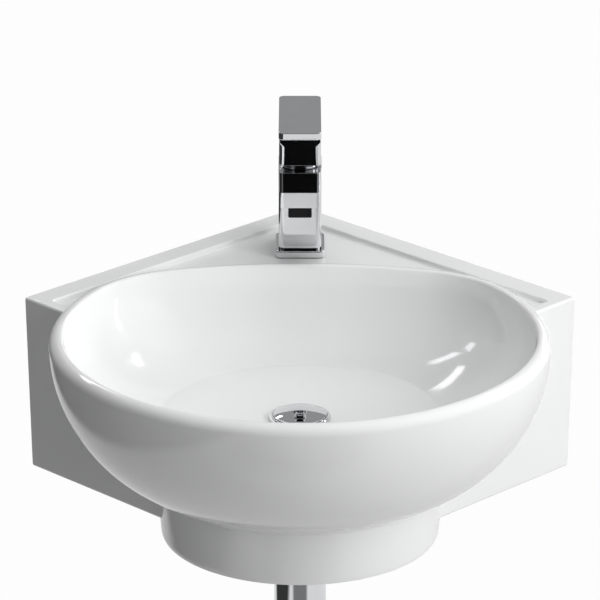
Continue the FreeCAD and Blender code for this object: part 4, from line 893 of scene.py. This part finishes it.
class BASIN_OT_tap_fittings(bpy.types.Operator):
    """Builds the dome over the cartridge and the aerator's housing."""
    bl_idname = "basin.tap_fittings"
    bl_label = "Tap dome and aerator"

    def execute(self, context):
        t = context.scene.basin_tap
        axis = -t.setback
        column_top = tap_heights(context.scene)[2]
        pivot = column_top + PIVOT_RISE
        outer, wall, opening = 16.2, 1.5, math.radians(53)
        profile = []
        for radius, backwards in ((outer, False), (outer - wall, True)):
            end = math.pi / 2 + math.asin(1.4 / radius)
            arc = [(radius * math.sin(a), pivot + radius * math.cos(a))
                   for a in (opening + (end - opening) * i / 16 for i in range(17))]
            profile += arc[::-1] if backwards else arc
        dome = turned("cartridge_dome_cap", softened(profile, 0.3, 2), (0, axis, 0))
        finish(dome, "fixed", "chrome", "cartridge_dome", smooth=40)
        foot = column_top - t.spout_height - t.aerator_drop
        half, middle = t.aerator_width / 2, axis - t.spout_reach + t.outlet_inset
        high = foot + t.aerator_drop - 0.15
        housing = block("aerator_block", (-half, middle - half, foot), (half, middle + half, high))
        bevel(housing, upright, 2.0, 6)
        soften_edges(housing, 0.5)
        thread = rod("aerator_thread", t.outlet_radius - 0.05, (0, middle, foot + 2), t.aerator_drop + 1.4)
        combine(housing, thread, "UNION")
        cut(housing, rod("aerator_way", 8.6, (0, middle, foot - 1), t.aerator_drop + 6))
        finish(housing, "fixed", "black", "aerator_housing", smooth=40)
        return {"FINISHED"}


# ---------------------------------------------------------------- waste and trap

NUT_GROOVES = 12
GROOVE_DEPTH = 0.9


def nut(name, at, foot, radius, height, bores, shoulder, grooved, towards=UP):
    """A round nut with two bores that meet at a shoulder, soft corners and shallow finger grooves."""
    lower, upper = bores
    profile = [(lower, foot), (radius, foot), (radius, foot + height), (upper, foot + height),
               (upper, foot + shoulder), (lower, foot + shoulder)]
    piece = loft(name, [circle_row(r, z, 192) for r, z in softened(profile, 0.8)], closed=True)
    low, high = (foot + level for level in grooved)
    for vertex in piece.data.vertices:
        x, y, z = vertex.co / MM
        reach = math.hypot(x, y)
        if reach > radius - 1.0 and low < z < high:
            hollow = max(0.0, math.cos(NUT_GROOVES * math.atan2(y, x))) ** 3
            vertex.co.x *= 1 - GROOVE_DEPTH * hollow / reach
            vertex.co.y *= 1 - GROOVE_DEPTH * hollow / reach
    return settle(piece, at, towards)


class BASIN_OT_waste(bpy.types.Operator):
    """Builds the flange with its tail, and the plug."""
    bl_idname = "basin.waste"
    bl_label = "Waste and plug"

    def execute(self, context):
        d, s = context.scene.basin_drain, context.scene.basin_sizes
        at = (0, -s.axis_setback, 0)
        seat = -s.floor_depth - s.floor_fall
        base = seat + d.seal
        rim, lip, height = d.flange, d.flange_lip, d.flange_height
        foot = seat - d.tail_length
        profile = [(d.tail_bore, foot), (d.tail, foot)]
        z = foot + 2
        while z < base - 26:
            profile += [(d.tail, z), (d.tail - 0.45, z + 0.75), (d.tail, z + 1.5)]
            z += 1.5
        profile += [(d.tail, base), (rim - 0.3, base), (rim, base + 0.4), (rim, base + height * 0.35),
                    (rim - 0.5, base + height * 0.62), (rim - lip * 0.3, base + height * 0.88),
                    (rim - lip * 0.5, base + height), (rim - lip * 0.9, base + height - 0.05),
                    (rim - lip, base + height - 0.3), (rim - lip, base + height * 0.45),
                    (rim - lip - 0.4, base + height * 0.38), (d.tail_bore + 0.6, base + height * 0.22),
                    (d.tail_bore, base)]
        body = turned("waste_flange_and_tail", profile, at, 128)
        top = seat - 26
        cross = rod("hub", 10.0, (0, at[1], top - 8), 8, 64)
        combine(cross, block("arm_x", (-17.9, at[1] - 2, top - 7.9), (17.9, at[1] + 2, top - 0.1)), "UNION")
        combine(cross, block("arm_y", (-2, at[1] - 17.9, top - 7.8), (2, at[1] + 17.9, top - 0.2)), "UNION")
        cut(cross, rod("hub_bore", 7.05, (0, at[1], top - 12), 20, 64))
        combine(body, cross, "UNION")
        finish(body, "fixed", "chrome", "waste_body", smooth=32)

        radius = rim - lip - d.plug_gap
        low = seat + d.seal + height * 0.4 + d.plug_gap + 0.8
        skirt = seat - 5
        curve = (radius ** 2 + d.plug_dome ** 2) / (2 * d.plug_dome)
        edge = low + d.plug_edge
        profile = [(0.0, low), (3.05, low), (3.05, skirt), (6.5, skirt), (6.5, low), (12.0, low),
                   (12.0, skirt), (14.0, skirt), (14.0, low), (radius - 0.4, low), (radius, low + 0.4),
                   (radius, edge - 0.6), (radius - 0.25, edge - 0.1)]
        for step in range(1, 25):
            reach = (radius - 1.0) * (1 - step / 24)
            profile.append((reach, edge + d.plug_dome - (curve - math.sqrt(curve ** 2 - reach ** 2))))
        rows = [circle_row(r, z, 128, at[:2]) for r, z in profile]
        plug = loft("waste_plug_cap", rows, cap=False)
        finish(plug, "plug", "chrome", "waste_plug")
        return {"FINISHED"}


class BASIN_OT_trap(bpy.types.Operator):
    """Builds the bottle trap: nuts, tubes, bottle, cup, outlet pipe and rosette."""
    bl_idname = "basin.trap"
    bl_label = "Bottle trap"

    def execute(self, context):
        d, s = context.scene.basin_drain, context.scene.basin_sizes
        at = (0, -s.axis_setback, 0)
        pipe = d.pipe
        inner = pipe - d.pipe_wall
        tail_foot = -s.floor_depth - s.floor_fall - d.tail_length
        flange = tail_foot - 2.6
        foot = tail_foot - 2.6 - 2.4 - 3.2
        finish(nut("trap_inlet_nut_gripped", at, foot, 24.5, 25.2, (pipe + 0.3, d.tail + 0.05), 3.2, (3, 20)),
               "fixed", "chrome", "trap_inlet_nut")
        bottle_foot = -d.bottle_top - d.bottle_length
        dip_foot = bottle_foot + 20
        profile = [(inner, dip_foot), (pipe, dip_foot), (pipe, flange - 2.4), (d.tail - 0.2, flange - 2.4),
                   (d.tail - 0.2, flange), (inner, flange)]
        finish(turned("trap_dip_tube_smooth", softened(profile, 0.3, 2), at), "fixed", "chrome",
               "trap_dip_tube")
        finish(nut("trap_top_nut_gripped", at, -d.bottle_top - 5.5, 26.0, 12.7,
                   (d.bottle + 0.05, pipe + 0.3), 9.5, (2, 10)), "fixed", "chrome", "trap_top_nut")
        self.bottle(d, at, bottle_foot)
        self.outlet(d, s, at)
        return {"FINISHED"}

    def bottle(self, d, at, foot):
        """The bottle with its branch, and the cup under it."""
        out = TO_LEFT_WALL
        start = Vector((0, at[1], -d.outlet_drop))
        bottle = rod("trap_bottle", d.bottle, (0, at[1], foot), d.bottle_length, 128)
        bevel(bottle, level_edge(foot), 0.5, 3)
        branch = rod("branch", d.branch, start, d.branch_reach, 96, out)
        combine(bottle, branch, "UNION")
        cut(bottle,
            rod("bottle_inside", d.bottle - d.bottle_wall, (0, at[1], foot - 5), d.bottle_length + 10, 128),
            rod("way", d.pipe - d.pipe_wall, start, d.branch_reach + 5, 96, out),
            rod("socket", d.pipe + 0.05, start + out * d.pipe_entry, 30, 96, out))
        finish(bottle, "fixed", "chrome", "trap_body")
        low = foot - d.cup - d.cup_seal
        inside = d.bottle - d.bottle_wall - 0.05
        high, side = low + d.cup, d.bottle
        profile = [(0.0, low), (side - 6, low), (side - 3.2, low + 0.7), (side - 1.2, low + 2.2),
                   (side - 0.2, low + 4.6), (side, low + 7), (side, high - 2.4), (side - 0.5, high - 1.9),
                   (side - 0.5, high - 1.2), (side, high - 0.7), (side - 0.3, high), (inside - 1.4, high),
                   (inside - 1.4, high + 1.5), (inside, high + 1.5), (inside, high + 11.5),
                   (inside - 2.6, high + 11.5), (inside - 2.6, low + 4), (0.0, low + 4)]
        rows = [circle_row(r, z, 128, at[:2]) for r, z in profile]
        finish(loft("trap_cup_rounded", rows, cap=False), "fixed", "chrome", "trap_cup", smooth=32)

    def outlet(self, d, s, at):
        """Nut, pipe and rosette towards the left wall."""
        out = TO_LEFT_WALL
        start = Vector((0, at[1], -d.outlet_drop))
        finish(nut("trap_outlet_nut_gripped", start + out * (d.branch_reach - 9), 0, 22.5, 16.2,
                   (d.branch + 0.05, d.pipe + 0.3), 13, (2, 13), out), "fixed", "chrome", "trap_outlet_nut")
        wall = s.axis_setback * HALF
        length = wall + d.pipe_stub - d.pipe_entry
        mark = length - d.pipe_stub
        profile = [(d.pipe - d.pipe_wall, 0), (d.pipe, 0), (d.pipe, mark - 1.0), (d.pipe - 0.4, mark - 1.0),
                   (d.pipe - 0.4, mark), (d.pipe, mark), (d.pipe, length), (d.pipe - d.pipe_wall, length)]
        finish(turned("trap_outlet_pipe_smooth", softened(profile, 0.15, 2), start + out * d.pipe_entry,
                      towards=out), "fixed", "chrome", "trap_outlet_pipe")
        inner, radius, depth = d.pipe + 0.6, d.rosette, d.rosette_depth
        profile = [(inner, 0.0), (inner + 2, 0.0), (inner + 4.4, 0.9), (radius - 2.3, depth - 4.2),
                   (radius - 0.6, depth - 2.2), (radius, depth - 0.6), (radius, depth), (radius - 1.2, depth),
                   (radius - 1.8, depth - 2.0), (radius - 3.4, depth - 3.8), (inner + 3.6, 2.2), (inner, 1.2)]
        rosette = turned("trap_wall_rosette_flared", profile, start + out * (wall - depth), towards=out)
        finish(rosette, "fixed", "chrome", "trap_wall_rosette", smooth=40)


class BASIN_OT_hidden(bpy.types.Operator):
    """Gives every CAD piece that stays its own finish."""
    bl_idname = "basin.hidden"
    bl_label = "Seals, cartridge and fixings"

    def execute(self, context):
        slots = {part["node"]: part["material_slot"] for part in frame["record"]["subparts"]}
        for name, piece in NODES.items():
            piece.data.materials.clear()
            piece.data.materials.append(material(slots[name]))
        return {"FINISHED"}


# ---------------------------------------------------------------- stage

def area_light(name, place, target, size, power):
    """A soft box that looks at a point; places in metres."""
    light = bpy.data.lights.new(name, "AREA")
    light.shape = "RECTANGLE"
    light.size, light.size_y = size
    light.energy = power
    holder = bpy.data.objects.new(name, light)
    bpy.context.scene.collection.objects.link(holder)
    holder.location = place
    holder.rotation_euler = (Vector(target) - Vector(place)).to_track_quat("-Z", "Y").to_euler()
    return holder


def strip_light(name, start, end, target, width, power):
    """A long narrow soft box from one place to another that looks at a point; places in metres."""
    start, end = Vector(start), Vector(end)
    middle = (start + end) / 2
    holder = area_light(name, middle, target, ((end - start).length, width), power)
    along = (end - start).normalized()
    facing = (Vector(target) - middle).normalized()
    side = along.cross(facing).normalized()
    holder.rotation_euler = Matrix((along, side, along.cross(side))).transposed().to_euler()


def studio_world():
    """A white room to the eye; in light and reflections dim, dark behind the camera and on the left."""
    world = bpy.data.worlds.new("studio")
    kit = Nodes(world)
    toward = kit.add("ShaderNodeTexCoord", output="Generated")
    glossy = kit.add("ShaderNodeLightPath", output="Is Glossy Ray")
    seen = kit.add("ShaderNodeLightPath", output="Is Camera Ray")

    def facing(direction, *band):
        """A value that changes with how far the direction is faced."""
        dot = kit.add("ShaderNodeVectorMath", {"operation": "DOT_PRODUCT"}, {0: toward, 1: direction},
                      "Value")
        return kit.band(dot, *band)

    room = facing((0.0, -0.936, 0.353), 0.72, 0.86, 0.31, 0.004)
    mirrored = room * facing((-1.0, 0.0, 0.0), 0.55, 0.9, 1.0, 0.06) * glossy
    lit = kit.math("SUBTRACT", room, room * glossy)
    strength = kit.math("MAXIMUM", mirrored + lit, seen)
    background = kit.nodes["Background"].inputs
    kit.links.new(strength.socket, background["Strength"])
    background["Color"].default_value = (0.985, 0.985, 0.985, 1.0)
    return world


# name, place, size, power
SOFT_BOXES = (("key_right", (2.1, -1.3, 0.9), (1.0, 1.7), 28),
              ("front_right", (1.3, -2.5, 0.6), (0.9, 1.4), 19),
              ("top_soft", (0.3, -0.5, 2.2), (1.4, 1.4), 19),
              ("back_soft", (0.0, 3.0, 1.9), (4.0, 1.6), 7))
# name, start, end, width, power
STRIPS = (("strip_right", (1.9, -0.1, 0.1), (0.75, 1.0, 1.45), 0.10, 5),
          ("strip_low", (1.47, 1.13, 0.22), (0.6, 1.63, 0.68), 0.3, 3),
          ("strip_behind", (-1.35, 1.15, 1.45), (-0.45, 1.75, 1.25), 0.12, 2.4))
SOFT_TARGET = (0, -0.3, 0)
STRIP_TARGET = (-0.1, -0.25, -0.05)
CAMERA_PLACE = (0, -3.6885, 1.2928)
CAMERA_DOWN = 20.676


class BASIN_OT_stage(bpy.types.Operator):
    """Sets the pale floor, the soft light and the camera."""
    bl_idname = "basin.stage"
    bl_label = "Studio"

    def execute(self, context):
        deselect_all()
        bpy.ops.mesh.primitive_plane_add(size=40.0, location=(0, 4.0, -0.85))
        floor = context.object
        floor.name = "studio_floor"
        floor.data.materials.append(material("floor"))
        for name, place, size, power in SOFT_BOXES:
            area_light(name, place, SOFT_TARGET, size, power).visible_glossy = False
        for name, start, end, width, power in STRIPS:
            strip_light(name, start, end, STRIP_TARGET, width, power)
        context.scene.world = studio_world()
        context.scene.view_settings.view_transform = "Standard"
        camera = bpy.data.cameras.new("camera")
        camera.sensor_width = 36.0
        camera.lens = 246.0
        camera.clip_end = 100.0
        holder = bpy.data.objects.new("camera", camera)
        context.scene.collection.objects.link(holder)
        holder.location = CAMERA_PLACE
        holder.rotation_euler = (math.radians(90 - CAMERA_DOWN), 0, 0)
        context.scene.camera = holder
        return {"FINISHED"}


class BASIN_PT_panel(bpy.types.Panel):
    """The steps of the corner basin, in their order."""
    bl_idname = "BASIN_PT_panel"
    bl_label = "Corner basin"
    bl_space_type = "VIEW_3D"
    bl_region_type = "UI"
    bl_category = "Basin"

    def draw(self, context):
        for operator in STEPS:
            self.layout.operator(operator.bl_idname)


GROUPS = {"basin_sizes": BasinSizes, "basin_tap": TapSizes, "basin_drain": DrainSizes,
          "basin_colours": FinishColours}
STEPS = (BASIN_OT_stage, BASIN_OT_hidden, BASIN_OT_ceramic, BASIN_OT_tap_plate, BASIN_OT_tap_body,
         BASIN_OT_tap_lever, BASIN_OT_tap_fittings, BASIN_OT_waste, BASIN_OT_trap)


def register():
    """Add the groups, the steps and the panel."""
    for name, group in GROUPS.items():
        bpy.utils.register_class(group)
        setattr(bpy.types.Scene, name, bpy.props.PointerProperty(type=group))
    for item in (*STEPS, BASIN_PT_panel):
        bpy.utils.register_class(item)


def unregister():
    """Take them away again."""
    for item in (BASIN_PT_panel, *reversed(STEPS)):
        bpy.utils.unregister_class(item)
    for name, group in reversed(GROUPS.items()):
        delattr(bpy.types.Scene, name)
        bpy.utils.unregister_class(group)


def main():
    """Run every step."""
    register()
    bpy.ops.basin.stage()
    bpy.ops.basin.hidden()
    bpy.ops.basin.ceramic()
    bpy.ops.basin.tap_plate()
    bpy.ops.basin.tap_body()
    bpy.ops.basin.tap_lever()
    bpy.ops.basin.tap_fittings()
    bpy.ops.basin.waste()
    bpy.ops.basin.trap()


if __name__ == "__main__":
    main()
